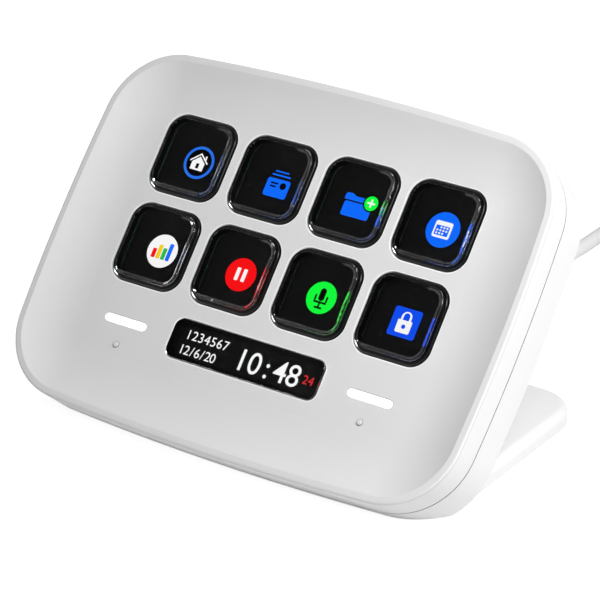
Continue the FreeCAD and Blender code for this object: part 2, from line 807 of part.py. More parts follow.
def keys():
    """Each key cap: a raised clear window in a lower border, a flange behind the cover and a thick core."""
    top = size["key_proud"].value
    border = size["key_proud"] - size["key_step"]
    wide = size["opening_size"] - size["key_clearance"] * 2
    corner = size["opening_round"] - size["key_clearance"]
    raised = wide - size["key_step_inset"] * 2
    flange = wide + size["flange_margin"] * 2 + size["key_clearance"] * 2

    def is_border(edge):
        box = edge.BoundBox
        reach = max(box.XMax, box.YMax, -box.XMin, -box.YMin)
        return lies_at(edge, "Z", border.value) and reach > wide.value / 2 - 1e-3

    for number, place in enumerate(key_places(), start=1):
        body = new_body(f"key_{number}", HEAD * Placement(place, Rotation()))
        cap = new_sketch(body, "cap_outline", COVER_BACK)
        rounded_rectangle(cap, wide, wide, corner)
        pad(body, cap, COVER_BACK + border, "cap")
        window = new_sketch(body, "window_outline", COVER_BACK)
        rounded_rectangle(window, raised, raised, corner - size["key_step_inset"])
        pad(body, window, COVER_BACK + size["key_proud"], "window")
        rim = new_sketch(body, "flange_outline", COVER_BACK)
        rounded_rectangle(rim, flange, flange, size["opening_round"] + size["flange_margin"])
        pad(body, rim, size["flange_thickness"], "flange", backwards=True)
        core = new_sketch(body, "core_outline", FLANGE_BACK)
        rounded_rectangle(core, size["core_size"], size["core_size"], size["core_round"])
        depth = DISPLAY_FRONT - size["key_travel"] - size["stop_gap"] - FLANGE_BACK
        pad(body, core, depth, "core", backwards=True)
        round_off(body, "border_round", size["key_round"], is_border)
        round_off(body, "window_round", size["key_step_round"], lambda e: lies_at(e, "Z", top))


def collars():
    """The silicone collar under each key, which folds as the key goes down."""
    flange = size["opening_size"] + size["flange_margin"] * 2
    outer = flange - size["collar_inset"] * 2
    corner = size["opening_round"] + size["flange_margin"] - size["collar_inset"]
    inner = outer - size["collar_wall"] * 2
    for number, place in enumerate(key_places(), start=1):
        body = new_body(f"key_collar_{number}", HEAD * Placement(place, Rotation()))
        ring = new_sketch(body, "collar_outline", FLANGE_BACK)
        rounded_rectangle(ring, outer, outer, corner)
        rounded_rectangle(ring, inner, inner, corner - size["collar_wall"])
        pad(body, ring, size["collar_height"], "collar", backwards=True)


def key_windows(body, behind):
    window = new_sketch(body, "window_outline", behind, FIRST_ACROSS, FIRST_UP)
    rounded_rectangle(window, size["window_size"], size["window_size"], size["window_round"])
    grid(body, [pocket(body, window, "window")], "windows")


def key_mat():
    body = new_body("key_mat")
    flange = size["opening_size"] + size["flange_margin"] * 2
    width = size["pitch_across"] * (size["columns"] - 1) + flange + size["mat_margin"] * 2
    height = size["pitch_up"] * (size["rows"] - 1) + flange + size["mat_margin"] * 2
    outline = new_sketch(body, "mat_outline", MAT_FRONT, 0, size["grid_up"])
    rounded_rectangle(outline, width, height, size["opening_round"])
    pad(body, outline, size["mat_thickness"], "mat", backwards=True)
    key_windows(body, MAT_FRONT)


def contact_board():
    body = new_body("contact_board")
    outline = new_sketch(body, "board_outline", BOARD_FRONT)
    rounded_rectangle(outline, size["board_width"], size["board_height"], size["board_round"])
    pad(body, outline, size["board_thickness"], "board", backwards=True)
    key_windows(body, BOARD_FRONT)
    bar = new_sketch(body, "bar_window_outline", BOARD_FRONT, 0, -size["bar_down"])
    rounded_rectangle(bar, size["bar_width"], size["bar_height"], size["bar_round"])
    pocket(body, bar, "bar_window")
    holes = new_sketch(body, "screw_hole_outline", BOARD_FRONT)
    at_case_screws(holes, size["screw_hole_radius"])
    pocket(body, holes, "screw_holes")


def info_lens():
    """The clear bar under the keys: a plate in its opening, a flange behind the cover and a thick core."""
    body = new_body("info_lens", HEAD * Placement(Vector(0, -size["bar_down"].value, 0), Rotation()))
    inset = size["bar_clearance"] * 2
    plate = new_sketch(body, "plate_outline", COVER_BACK)
    rounded_rectangle(plate, size["bar_width"] - inset, size["bar_height"] - inset,
                      size["bar_round"] - size["bar_clearance"])
    pad(body, plate, COVER_BACK + size["bar_proud"], "plate")
    rim = new_sketch(body, "flange_outline", COVER_BACK)
    margin = size["bar_flange"] * 2
    rounded_rectangle(rim, size["bar_width"] + margin, size["bar_height"] + margin,
                      size["bar_round"] + size["bar_flange"])
    pad(body, rim, size["flange_thickness"], "flange", backwards=True)
    core = new_sketch(body, "core_outline", FLANGE_BACK)
    drawn_in = size["bar_core_inset"] * 2
    rounded_rectangle(core, size["bar_width"] - drawn_in, size["bar_height"] - drawn_in,
                      size["bar_round"] - size["bar_core_inset"] / 2)
    pad(body, core, DISPLAY_FRONT - size["bar_gap"] - FLANGE_BACK, "core", backwards=True)
    top = size["bar_proud"].value
    round_off(body, "edge_round", size["bar_edge_round"], lambda e: lies_at(e, "Z", top))


def strip_lights():
    """The two light bars, each level with the dish floor and held by a flange behind the cover."""
    for name, side in (("touch_light_left", -1), ("touch_light_right", 1)):
        place = Vector(side * size["strip_across"].value, -size["strip_down"].value, 0)
        body = new_body(name, HEAD * Placement(place, Rotation()))
        bar = new_sketch(body, "bar_outline", COVER_BACK)
        inset = size["strip_clearance"] * 2
        slot(bar, size["strip_length"] - inset, size["strip_height"] - inset)
        pad(body, bar, COVER_BACK, "bar")
        rim = new_sketch(body, "flange_outline", COVER_BACK)
        margin = size["strip_flange"] * 2
        slot(rim, size["strip_length"] + margin, size["strip_height"] + margin)
        reach = BOARD_FRONT - size["emitter_height"] - size["light_gap"] - COVER_BACK
        pad(body, rim, reach, "flange", backwards=True)


def touch_emitters():
    """Three small light emitters under each touch strip, on the contact board."""
    body = new_body("touch_emitters")
    body.AllowCompound = True
    sketch = new_sketch(body, "emitter_outline", BOARD_FRONT, -size["strip_across"] - size["emitter_pitch"],
                        -size["strip_down"])
    rounded_rectangle(sketch, size["emitter_size"], size["emitter_size"], size["emitter_size"] / 8)
    first = pad(body, sketch, size["emitter_height"], "emitter")
    doc.recompute()
    pattern = body.newObject("PartDesign::MultiTransform", "emitters")
    pattern.Originals = [first]
    row = body.newObject("PartDesign::LinearPattern", "emitter_row")
    row.Direction = (origin_plane(body, "X_Axis"), [""])
    row.Occurrences = 3
    tie(row, Length=size["emitter_pitch"] * 2)
    other = body.newObject("PartDesign::Mirrored", "emitter_mirror")
    other.MirrorPlane = (origin_plane(body, "YZ_Plane"), [""])
    pattern.Transformations = [row, other]
    body.Tip = pattern


def display_panel():
    body = new_body("display_panel")
    outline = new_sketch(body, "panel_outline", DISPLAY_FRONT, 0, size["display_up"])
    rounded_rectangle(outline, size["display_width"], size["display_height"], size["display_round"])
    pad(body, outline, size["display_thickness"], "panel", backwards=True)


def standoff_places():
    for across in (size["standoff_across"], -size["standoff_across"]):
        for up in (size["main_up"] + size["standoff_up"], size["main_up"] - size["standoff_up"]):
            yield across, up


def display_frame():
    """The moulded tray behind the contact board: the panel's recess, a flex slot and four standoffs."""
    body = new_body("display_frame")
    outline = new_sketch(body, "tray_outline", DISPLAY_FRONT)
    rounded_rectangle(outline, size["board_width"], size["board_height"], size["board_round"])
    pad(body, outline, FRAME_BACK - DISPLAY_FRONT, "tray", backwards=True)
    recess = new_sketch(body, "recess_outline", DISPLAY_FRONT, 0, size["display_up"])
    fit = size["frame_fit"] * 2
    rounded_rectangle(recess, size["display_width"] + fit, size["display_height"] + fit,
                      size["display_round"])
    pocket(body, recess, "recess", size["display_thickness"])
    flex = new_sketch(body, "flex_outline", FRAME_BACK, 0,
                      size["display_up"] - size["display_height"] / 2 + size["flex_height"])
    rounded_rectangle(flex, size["flex_width"], size["flex_height"], size["display_round"])
    pocket(body, flex, "flex_slot")
    holes = new_sketch(body, "screw_hole_outline", DISPLAY_FRONT)
    at_case_screws(holes, size["screw_hole_radius"])
    pocket(body, holes, "screw_holes")
    posts = new_sketch(body, "standoff_outline", FRAME_BACK)
    for across, up in standoff_places():
        circle(posts, size["standoff_radius"], across, up)
    pad(body, posts, size["standoff_height"], "standoffs", backwards=True)
    pilots = new_sketch(body, "standoff_pilot_outline", MAIN_FRONT)
    for across, up in standoff_places():
        circle(pilots, size["pilot_radius"], across, up)
    pocket(body, pilots, "standoff_pilots", size["pilot_depth"], outwards=True)


def main_board():
    body = new_body("main_board")
    outline = new_sketch(body, "main_outline", MAIN_FRONT, 0, size["main_up"])
    rounded_rectangle(outline, size["main_width"], size["main_height"], size["main_round"])
    pad(body, outline, size["main_thickness"], "main", backwards=True)
    holes = new_sketch(body, "main_hole_outline", MAIN_FRONT)
    for across, up in standoff_places():
        circle(holes, size["screw_hole_radius"], across, up)
    pocket(body, holes, "main_holes")
    chip = new_sketch(body, "chip_outline", MAIN_BACK, -size["socket_across"], size["main_up"])
    rounded_rectangle(chip, size["chip_size"], size["chip_size"], size["chip_size"] / 20)
    pad(body, chip, size["chip_height"], "chip", backwards=True)
    socket = new_sketch(body, "socket_outline", MAIN_BACK, size["socket_across"], size["main_up"])
    rounded_rectangle(socket, size["socket_width"], size["socket_height"], size["socket_height"] / 10)
    pad(body, socket, size["socket_depth"], "socket", backwards=True)


def screws(name, places, seat, tip):
    """Pan-head screws in one node: one is revolved, then repeated up the face and mirrored.

    The underside of the head lies at the level seat, and the shank ends at the level tip.
    """
    body = new_body(name)
    body.AllowCompound = True
    across, up = places[0]
    step = places[1][1]
    section = new_sketch(body, "screw_section", -across, role="YZ_Plane")
    shank, head, drive_wide = size["screw_radius"], size["screw_head_radius"], size["drive_radius"]
    tall, deep = size["screw_head_height"], size["drive_depth"]
    if seat.value < tip.value:
        tall, deep = -tall, -deep
    closed_polygon(section, [
        (up, -tip),
        (up + shank, -tip),
        (up + shank, -seat),
        (up + head, -seat),
        (up + head, -seat - tall),
        (up + drive_wide, -seat - tall),
        (up + drive_wide, -seat - tall + deep),
        (up, -seat - tall + deep),
    ])
    turn = body.newObject("PartDesign::Revolution", "screw")
    turn.Profile = section
    turn.ReferenceAxis = (section, ["Edge8"])
    turn.Angle = 360
    doc.recompute()
    pattern = body.newObject("PartDesign::MultiTransform", "screw_group")
    pattern.Originals = [turn]
    row = body.newObject("PartDesign::LinearPattern", "screw_rows")
    row.Direction = (origin_plane(body, "Y_Axis"), [""])
    row.Occurrences = 2
    row.Reversed = step.value < up.value
    tie(row, Length=(up - step) if row.Reversed else (step - up))
    other = body.newObject("PartDesign::Mirrored", "screw_mirror")
    other.MirrorPlane = (origin_plane(body, "YZ_Plane"), [""])
    pattern.Transformations = [row, other]
    body.Tip = pattern


def all_screws():
    head_seat = SHELL_BACK - size["sink_depth"]
    screws("case_screws", list(case_screw_places()), head_seat,
           BOARD_FRONT - size["pilot_depth"] + size["tip_gap"])
    screws("board_screws", list(standoff_places()), MAIN_BACK,
           MAIN_FRONT - size["pilot_depth"] + size["tip_gap"])
    screws("stand_screws", list(stand_screw_places()), SHELL_INNER,
           SHELL_BACK + size["stand_thread"] - size["tip_gap"])


FOOT_FRONT = -size["foot_depth"] / 2


def leaning_sketch(body, name):
    """A sketch in the plane of the shell's back, from the line where it meets the foot's underside."""
    sketch = body.newObject("Sketcher::SketchObject", name)
    sketch.AttachmentSupport = [(origin_plane(body, "XY_Plane"), "")]
    sketch.MapMode = "FlatFace"
    leaning = Rotation(Vector(1, 0, 0), size["lean_angle"].value)
    sketch.AttachmentOffset = Placement(Vector(0, FOOT_FRONT.value, 0), leaning)
    sketch.setExpression("AttachmentOffset.Base.y", FOOT_FRONT.text)
    sketch.setExpression("AttachmentOffset.Rotation.Angle", size["lean_angle"].text)
    return sketch


def stand_foot():
    """The foot plate on the desk and the leaning bracket behind the shell, in one moulding."""
    body = new_body("stand_foot", Placement(Vector(0, 0, size["pad_proud"].value), Rotation()))
    thick, deep, wide = size["foot_thickness"], size["foot_depth"], size["foot_width"]
    rear = deep.value / 2
    outline = new_sketch(body, "plate_outline")
    closed_polygon(outline, [
        (-wide / 2, -deep / 2), (wide / 2, -deep / 2), (wide / 2, deep / 2), (-wide / 2, deep / 2)])
    pad(body, outline, thick, "plate")
    round_off(body, "rear_corners", size["foot_rear_radius"],
              lambda e: lies_at(e, "Y", rear) and e.BoundBox.ZLength > thick.value / 2)
    round_off(body, "plate_round", size["foot_round"],
              lambda e: lies_at(e, "Z", thick.value) and e.BoundBox.YMax > 1e-3 - rear)

    nose = new_sketch(body, "nose_cut_outline", role="YZ_Plane")
    slope = math.tan(LEAN)
    top = thick.value * 2
    corners = [(-rear, 0), (-rear + top / slope, top), (-rear * 2, top), (-rear * 2, 0)]
    for number, corner in enumerate(corners):
        ends = (Vector(*corner, 0), Vector(*corners[(number + 1) % 4], 0))
        nose.addGeometry(Part.LineSegment(*ends), False)
    pocket(body, nose, "nose_cut")

    sink = size["bracket_sink"]
    low = size["bracket_thickness"].value / slope + sink.value
    foot_of_bracket = Size(low, f"({SHEET}.bracket_thickness / tan({SHEET}.lean_angle * 1 deg) + {sink.text})")
    half = size["bracket_width"] / 2
    bracket = leaning_sketch(body, "bracket_outline")
    closed_polygon(bracket, [
        (-half, foot_of_bracket), (half, foot_of_bracket),
        (half, size["bracket_rise"]), (-half, size["bracket_rise"])])
    pad(body, bracket, size["bracket_thickness"], "bracket", backwards=True)
    plate_top = thick.value
    bracket_top = size["bracket_rise"].value * math.sin(LEAN)
    fall = size["bracket_thickness"].value * math.cos(LEAN)

    def is_upper_corner(edge):
        box = edge.BoundBox
        return abs(box.ZMax - bracket_top) < 1e-3 and abs(box.ZLength - fall) < 1e-3

    def meets_plate(edge):
        middle = edge.valueAt((edge.FirstParameter + edge.LastParameter) / 2)
        inside = abs(middle.x) < half.value / 2 and 1 - rear < middle.y < rear - 1
        return inside and lies_at(edge, "Z", plate_top)

    round_off(body, "bracket_corners", size["bracket_corner"], is_upper_corner)
    round_off(body, "bracket_root", size["bracket_root"], meets_plate)
    threads = leaning_sketch(body, "thread_outline")
    for across in (size["stand_across"], -size["stand_across"]):
        for step in (0, 1):
            circle(threads, size["pilot_radius"], across,
                   size["stand_lower"] + size["stand_spacing"] * step)
    pocket(body, threads, "threads", size["stand_thread"])
    underside = new_sketch(body, "pad_recess_outline")
    inset = size["pad_inset"] * 2
    rounded_rectangle(underside, wide - inset, deep - inset, size["pad_round"])
    pocket(body, underside, "pad_recess", size["pad_thickness"] - size["pad_proud"], outwards=True)


def foot_pad():
    body = new_body("foot_pad", Placement())
    outline = new_sketch(body, "pad_outline")
    inset = size["pad_inset"] * 2
    rounded_rectangle(outline, size["foot_width"] - inset, size["foot_depth"] - inset, size["pad_round"])
    pad(body, outline, size["pad_thickness"], "pad")


GLAND_TIP = SHELL_BACK + size["gland_length"]


def cable_gland():
    """The tapered strain relief: a flange inside, a neck through the wall, a collar and a ringed sleeve."""
    body = new_body("cable_gland", HEAD * Placement(Vector(0, size["gland_up"].value, 0), Rotation()))
    section = new_sketch(body, "gland_section", role="YZ_Plane")
    zero = as_size(0)
    closed_polygon(section, [
        (zero, size["gland_inner_flange"] - SHELL_INNER),
        (size["gland_collar_radius"], size["gland_inner_flange"] - SHELL_INNER),
        (size["gland_collar_radius"], -SHELL_INNER),
        (size["gland_neck_radius"], -SHELL_INNER),
        (size["gland_neck_radius"], -SHELL_BACK),
        (size["gland_collar_radius"], -SHELL_BACK),
        (size["gland_collar_radius"], -SHELL_BACK - size["gland_collar"]),
        (size["gland_root_radius"], -SHELL_BACK - size["gland_collar"]),
        (size["gland_tip_radius"], -GLAND_TIP),
        (zero, -GLAND_TIP),
    ])
    turn = body.newObject("PartDesign::Revolution", "sleeve")
    turn.Profile = section
    turn.ReferenceAxis = (section, ["Edge10"])
    turn.Angle = 360
    doc.recompute()
    ring = new_sketch(body, "ring_section", role="YZ_Plane")
    first = -SHELL_BACK - size["gland_collar"] - size["gland_ring_pitch"] / 2
    inner = size["gland_tip_radius"] - size["gland_ring_depth"] / 2
    outer = size["gland_collar_radius"]
    rising = size["gland_ring_depth"] / 2
    closed_polygon(ring, [
        (inner + rising, first), (outer, first), (outer, first - size["gland_ring_width"]),
        (inner + rising, first - size["gland_ring_width"])])
    before = volume(body)
    groove = body.newObject("PartDesign::Groove", "ring")
    groove.Profile = ring
    groove.ReferenceAxis = (origin_plane(body, "Z_Axis"), [""])
    groove.Angle = 360
    doc.recompute()
    pattern = body.newObject("PartDesign::LinearPattern", "rings")
    pattern.Originals = [groove]
    pattern.Direction = (origin_plane(body, "Z_Axis"), [""])
    pattern.Reversed = True
    tie(pattern, Length=size["gland_ring_pitch"] * (size["gland_ring_count"] - 1),
        Occurrences=size["gland_ring_count"])
    body.Tip = pattern
    if volume(body) >= before:
        raise RuntimeError("the sleeve's rings cut nothing")


def unit(vector):
    return vector * (1 / vector.Length)


def smooth_run(name, points):
    """Straight runs joined by tangent arcs, each arc as large as its two runs allow."""
    edges = []
    radii = []
    last = points[0]
    for before, corner, after in zip(points, points[1:], points[2:]):
        back, onward = unit(before - corner), unit(after - corner)
        half_turn = (math.pi - back.getAngle(onward)) / 2
        reach = 0.45 * min((before - corner).Length, (after - corner).Length)
        radius = reach / math.tan(half_turn)
        start, end = corner + back * reach, corner + onward * reach
        inward = unit(back + onward)
        middle = corner + inward * (radius / math.cos(half_turn) - radius)
        edges.append(Part.LineSegment(last, start).toShape())
        edges.append(Part.Arc(start, middle, end).toShape())
        radii.append(radius)
        last = end
    edges.append(Part.LineSegment(last, points[-1]).toShape())
    print(f"{name} radii: " + ", ".join(f"{radius:.1f}" for radius in radii))
    return edges


def tube(name, edges, radius):
    """A round tube along a smooth chain of edges, checked against its section times its length."""
    path = Part.Wire(edges)
    start = edges[0].valueAt(edges[0].FirstParameter)
    along = edges[0].tangentAt(edges[0].FirstParameter)
    section = Part.Wire(Part.Circle(start, along, radius).toShape())
    shape = path.makePipeShell([section], True, False)
    feature = doc.addObject("Part::Feature", name)
    feature.Label = name
    feature.Shape = shape
    feature.Placement = Placement()
    share = shape.Volume / (math.pi * radius**2 * path.Length)
    print(f"{name}: {path.Length:.1f} mm long, volume {share:.4f} of section times length")
    if abs(share - 1) > 0.02:
        raise RuntimeError(f"{name} isn't a clean tube")
    return path.Length


def biarc(start, start_way, end, end_way):
    """Two arcs that leave start and reach end along the given ways and meet without a kink."""
    gap = end - start
    ways = start_way + end_way
    flat = 2 * (1 - start_way.dot(end_way))
    reach = (math.sqrt(gap.dot(ways) ** 2 + flat * gap.dot(gap)) - gap.dot(ways)) / flat
    meet = (start + start_way * reach + end - end_way * reach) * 0.5
    middle_way = unit(end - end_way * reach - start - start_way * reach)
    return [arc_from(start, start_way, meet), arc_from(meet, middle_way, end)]


def arc_from(start, way, end):
    """The arc from start to end that leaves start along the given way."""
    chord = end - start
    bend = chord - way * chord.dot(way)
    radius = chord.dot(chord) / (2 * bend.Length)
    centre = start + unit(bend) * radius
    middle = centre + unit((start + end) * 0.5 - centre) * radius
    return Part.Arc(start, middle, end).toShape()


COIL_PITCH = size["cord_radius"].value * 2 + size["coil_gap"].value
COIL_OUTER = size["coil_inner_radius"].value + COIL_PITCH * DIMENSIONS["coil_turns"]
COIL_BASE = size["tie_thickness"].value + size["tie_clearance"].value + size["cord_radius"].value
COIL_MIDDLE = Vector(size["coil_across"].value, size["coil_back"].value, 0)
COIL_TOP = COIL_BASE + COIL_PITCH * (DIMENSIONS["coil_layers"] - 1)
# The share of a turn before and after each reversal in which the cord climbs half a layer
CLIMB = 0.25


def coil_place(turns):
    """The cord's middle after so many turns: spiralling in and out, and climbing where it reverses."""
    per_layer = DIMENSIONS["coil_turns"]
    layer = min(int(turns / per_layer), DIMENSIONS["coil_layers"] - 1)
    share = turns / per_layer - layer
    inwards = share if layer % 2 == 0 else 1 - share
    radius = COIL_OUTER - inwards * COIL_PITCH * per_layer
    level = layer
    into, left = turns - layer * per_layer, (layer + 1) * per_layer - turns
    if layer > 0 and into < CLIMB:
        level = layer - 0.5 + into / CLIMB / 2
    if layer < DIMENSIONS["coil_layers"] - 1 and left < CLIMB:
        level = layer + 0.5 - left / CLIMB / 2
    angle = math.pi - 2 * math.pi * turns
    flat = Vector(math.cos(angle), math.sin(angle), 0) * radius
    return COIL_MIDDLE + flat + UP * (COIL_BASE + level * COIL_PITCH)


def coil_stops():
    """Turn counts where one biarc ends and the next begins: about a half turn each, one for each climb."""
    per_layer = DIMENSIONS["coil_turns"]
    layers = DIMENSIONS["coil_layers"]
    stops = [0.0]
    for layer in range(layers):
        end = (layer + 1) * per_layer - (CLIMB if layer < layers - 1 else 0)
        pieces = math.ceil((end - stops[-1]) / 0.5)
        first = stops[-1]
        stops += [first + (end - first) * n / pieces for n in range(1, pieces + 1)]
        if layer < layers - 1:
            stops.append(end + 2 * CLIMB)
    return stops


def coil_way(turns):
    """The cord's direction after so many turns, level and square to the radius at both ends."""
    total = DIMENSIONS["coil_turns"] * DIMENSIONS["coil_layers"]
    if turns < 1e-6 or turns > total - 1e-6:
        return Vector(0, 1, 0)
    step = 1e-4
    way = coil_place(turns + step) - coil_place(turns - step)
    return unit(Vector(way.x, way.y, 0))


def coil_edges():
    stops = coil_stops()
    straight = size["cord_radius"].value * 2
    first, last = coil_place(0), coil_place(stops[-1])
    forward = Vector(0, 1, 0)
    edges = [Part.LineSegment(first - forward * straight, first).toShape()]
    for start, end in zip(stops, stops[1:]):
        edges += biarc(coil_place(start), coil_way(start), coil_place(end), coil_way(end))
    edges.append(Part.LineSegment(last, last + forward * straight).toShape())
    return edges


def least_gap(edges, radius):
    """The least clear gap between parts of a tube that lie more than half a turn apart along it."""
    step = 0.8
    far = math.pi * size["coil_inner_radius"].value
    points = []
    travelled = 0.0
    for edge in edges:
        count = max(2, int(edge.Length / step))
        for number in range(count):
            share = number / count
            at = edge.FirstParameter + (edge.LastParameter - edge.FirstParameter) * share
            points.append((travelled + edge.Length * share, edge.valueAt(at)))
        travelled += edge.Length
    near = min((a[1] - b[1]).Length for n, a in enumerate(points) for b in points[n + 1:]
               if b[0] - a[0] > far)
    return near - 2 * radius


# The cable's route over the desk, from the strain relief to the coil and from the coil to the plug.
# The first two and the last points follow from what the cable meets, and the rest are laid by hand.
CORD = size["cord_radius"].value
FIRST_RUN = 11.0
LAST_RUN = 13.0
DESK_ROUTE = [(0.3, 30.4, 5.8), (1.0, 43.9, CORD), (3.0, 58.9, CORD), (6.0, 75.9, CORD), (8.2, 92.4, CORD)]
# Around the outside of the coil and down to the desk, from the coil's middle
TAIL_ROUTE = [(-26.0, 18.5, -0.3), (-17.5, 32.5, -2.4), (-2.0, 38.5, -5.0), (15.0, 35.0, -7.4),
              (28.0, 22.5, -9.4)]
PLUG_ACROSS = 31.1
PLUG_BACK = -12.0
TAIL_LAST_RUN = 16.0


def cable_route():
    tip = HEAD.multVec(Vector(0, size["gland_up"].value, -GLAND_TIP.value))
    away = HEAD.Rotation.multVec(Vector(0, 0, -1))
    end = coil_place(0) - Vector(0, 2 * CORD, 0)
    return [tip, tip + away * FIRST_RUN, *[Vector(*p) for p in DESK_ROUTE],
            end - Vector(0, LAST_RUN, 0), end]


def tail_route():
    total = DIMENSIONS["coil_turns"] * DIMENSIONS["coil_layers"]
    start = coil_place(total) + Vector(0, 2 * CORD, 0)
    height = size["plug_height"].value / 2
    end = COIL_MIDDLE + Vector(PLUG_ACROSS, PLUG_BACK, height)
    around = [COIL_MIDDLE + Vector(x, y, COIL_TOP + z) for x, y, z in TAIL_ROUTE]
    return [start, *around, end + Vector(0, TAIL_LAST_RUN, 0), end]


def cords():
    radius = size["cord_radius"].value
    free = tube("cable", smooth_run("cable", cable_route()), radius)
    wound = coil_edges()
    coil = tube("cable_coil", wound, radius)
    print(f"cable_coil: least gap to itself {least_gap(wound, radius):.2f} mm")
    tail = tube("cable_tail", smooth_run("cable_tail", tail_route()), radius)
    print(f"whole cable: {free + coil + tail:.0f} mm")


def cable_tie():
    """The strap round the coil's near side."""
    wide = Size(COIL_PITCH * (DIMENSIONS["coil_turns"]) + 2 * CORD,
                f"((({SHEET}.cord_radius * 2 + {SHEET}.coil_gap) * {SHEET}.coil_turns)"
                f" + {SHEET}.cord_radius * 2)")
    tall = Size(COIL_TOP - COIL_BASE + 2 * CORD,
                f"((({SHEET}.cord_radius * 2 + {SHEET}.coil_gap) * ({SHEET}.coil_layers - 1))"
                f" + {SHEET}.cord_radius * 2)")
    middle = size["coil_inner_radius"].value - CORD + wide.value / 2
    level = COIL_BASE - CORD + tall.value / 2
    body = new_body("cable_tie", Placement(COIL_MIDDLE + Vector(0, -middle, level), Rotation()))
    section = new_sketch(body, "tie_section", role="YZ_Plane")
    room = size["tie_clearance"] * 2
    strap = size["tie_thickness"] * 2
    rounded_rectangle(section, wide + room + strap, tall + room + strap,
                      size["tie_round"] + size["tie_thickness"])
    rounded_rectangle(section, wide + room, tall + room, size["tie_round"])
    pad(body, section, size["tie_width"], "strap").Midplane = True


def plug():
    """The moulded grip and boot, the metal shell with its two windows, and the tongue inside."""
    place = COIL_MIDDLE + Vector(PLUG_ACROSS, PLUG_BACK, size["plug_height"].value / 2)
    forward = Placement(place, Rotation(Vector(0, 0, 1), 180))
    front = size["plug_boot_length"] + size["plug_length"]
    body = new_body("plug_grip", forward)
    grip = new_sketch(body, "grip_outline", -size["plug_boot_length"], role="XZ_Plane")
    grip.setExpression("AttachmentOffset.Base.z", f"0 - {SHEET}.plug_boot_length")
    rounded_rectangle(grip, size["plug_width"], size["plug_height"], size["plug_round"])
    pad(body, grip, size["plug_length"], "grip", backwards=True)
    root = new_sketch(body, "boot_root", role="XZ_Plane")
    root.setExpression("AttachmentOffset.Base.z", f"0 - {SHEET}.plug_boot_length")
    circle(root, size["plug_boot_root"])
    tip = new_sketch(body, "boot_tip", role="XZ_Plane")
    circle(tip, size["plug_boot_tip"])
    doc.recompute()
    boot = body.newObject("PartDesign::AdditiveLoft", "boot")
    boot.Profile = root
    boot.Sections = [tip]
    boot.Ruled = True
    ends = [size["plug_boot_length"].value, front.value]
    half = size["plug_height"].value / 2

    def is_end_rim(edge):
        at_end = any(lies_at(edge, "Y", end) for end in ends)
        box = edge.BoundBox
        return at_end and max(box.XMax, box.ZMax, -box.XMin, -box.ZMin) > half - 1e-3

    round_off(body, "grip_round", size["plug_edge_round"], is_end_rim)

    shell = new_body("plug_shell", forward)
    outline = new_sketch(shell, "shell_outline", role="XZ_Plane")
    outline.setExpression("AttachmentOffset.Base.z", (-front).text)
    wide, tall, thin = size["plug_shell_width"], size["plug_shell_height"], size["plug_shell_wall"]
    rounded_rectangle(outline, wide, tall, thin * 2)
    pad(shell, outline, size["plug_shell_length"], "shell", backwards=True)
    bore = new_sketch(shell, "bore_outline", role="XZ_Plane")
    bore.setExpression("AttachmentOffset.Base.z", (-front - thin).text)
    rounded_rectangle(bore, wide - thin * 2, tall - thin * 2, thin)
    pocket(shell, bore, "bore", size["plug_shell_length"])
    windows = new_sketch(shell, "window_outline", role="XY_Plane", up=front + size["plug_window_back"],
                         across=-size["plug_window_across"])
    rounded_rectangle(windows, size["plug_window"], size["plug_window"], size["plug_window"] / 10)
    window = pocket(shell, windows, "window", tall, outwards=True)
    mirror(shell, [window], "windows")

    tongue = new_body("plug_tongue", forward)
    step = size["plug_tongue_inset"]
    bar = new_sketch(tongue, "tongue_outline", role="XZ_Plane")
    bar.setExpression("AttachmentOffset.Base.z", (-front - thin).text)
    level = size["plug_tongue_height"] / 2 - tall / 2 + thin + size["plug_tongue_gap"]
    bar.setExpression("AttachmentOffset.Base.y", level.text)
    rounded_rectangle(bar, wide - thin * 4, size["plug_tongue_height"], thin)
    pad(tongue, bar, size["plug_shell_length"] - thin - step, "tongue", backwards=True)


def check_and_write():
    """Stops on a failed feature or a broken solid, then writes each piece to its own file."""
    doc.recompute()
    failed = [item.Name for item in doc.Objects if {"Invalid", "Error"} & set(item.State)]
    if failed:
        raise RuntimeError("failed: " + ", ".join(failed))
    pieces = [item for item in doc.Objects if item.TypeId in ("PartDesign::Body", "Part::Feature")]
    for piece in pieces:
        if piece.Shape.isNull() or not piece.Shape.isValid() or not piece.Shape.Solids:
            raise RuntimeError(f"{piece.Label} isn't a valid solid")
    os.makedirs(OUT, exist_ok=True)
    for piece in pieces:
        piece.Shape.exportStep(f"{OUT}/{piece.Label}.step")
    print(f"{len(pieces)} pieces written")


front_cover()
rear_shell()
keys()
collars()
key_mat()
contact_board()
info_lens()
strip_lights()
touch_emitters()
display_panel()
display_frame()
main_board()
all_screws()
stand_foot()
foot_pad()
cable_gland()
cords()
cable_tie()
plug()
check_and_write()
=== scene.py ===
"""The looks of a display keypad that leans back on a fixed foot.

Distances are in metres in the part's frame: the desk is Z = 0, X is the user's right and Y points away from
the user. The head also has a frame of its own: across the face, up the face, and out of the face from the
floor of the dish.
"""

import math

import bmesh
import bpy
from mathutils import Euler, Matrix, Vector


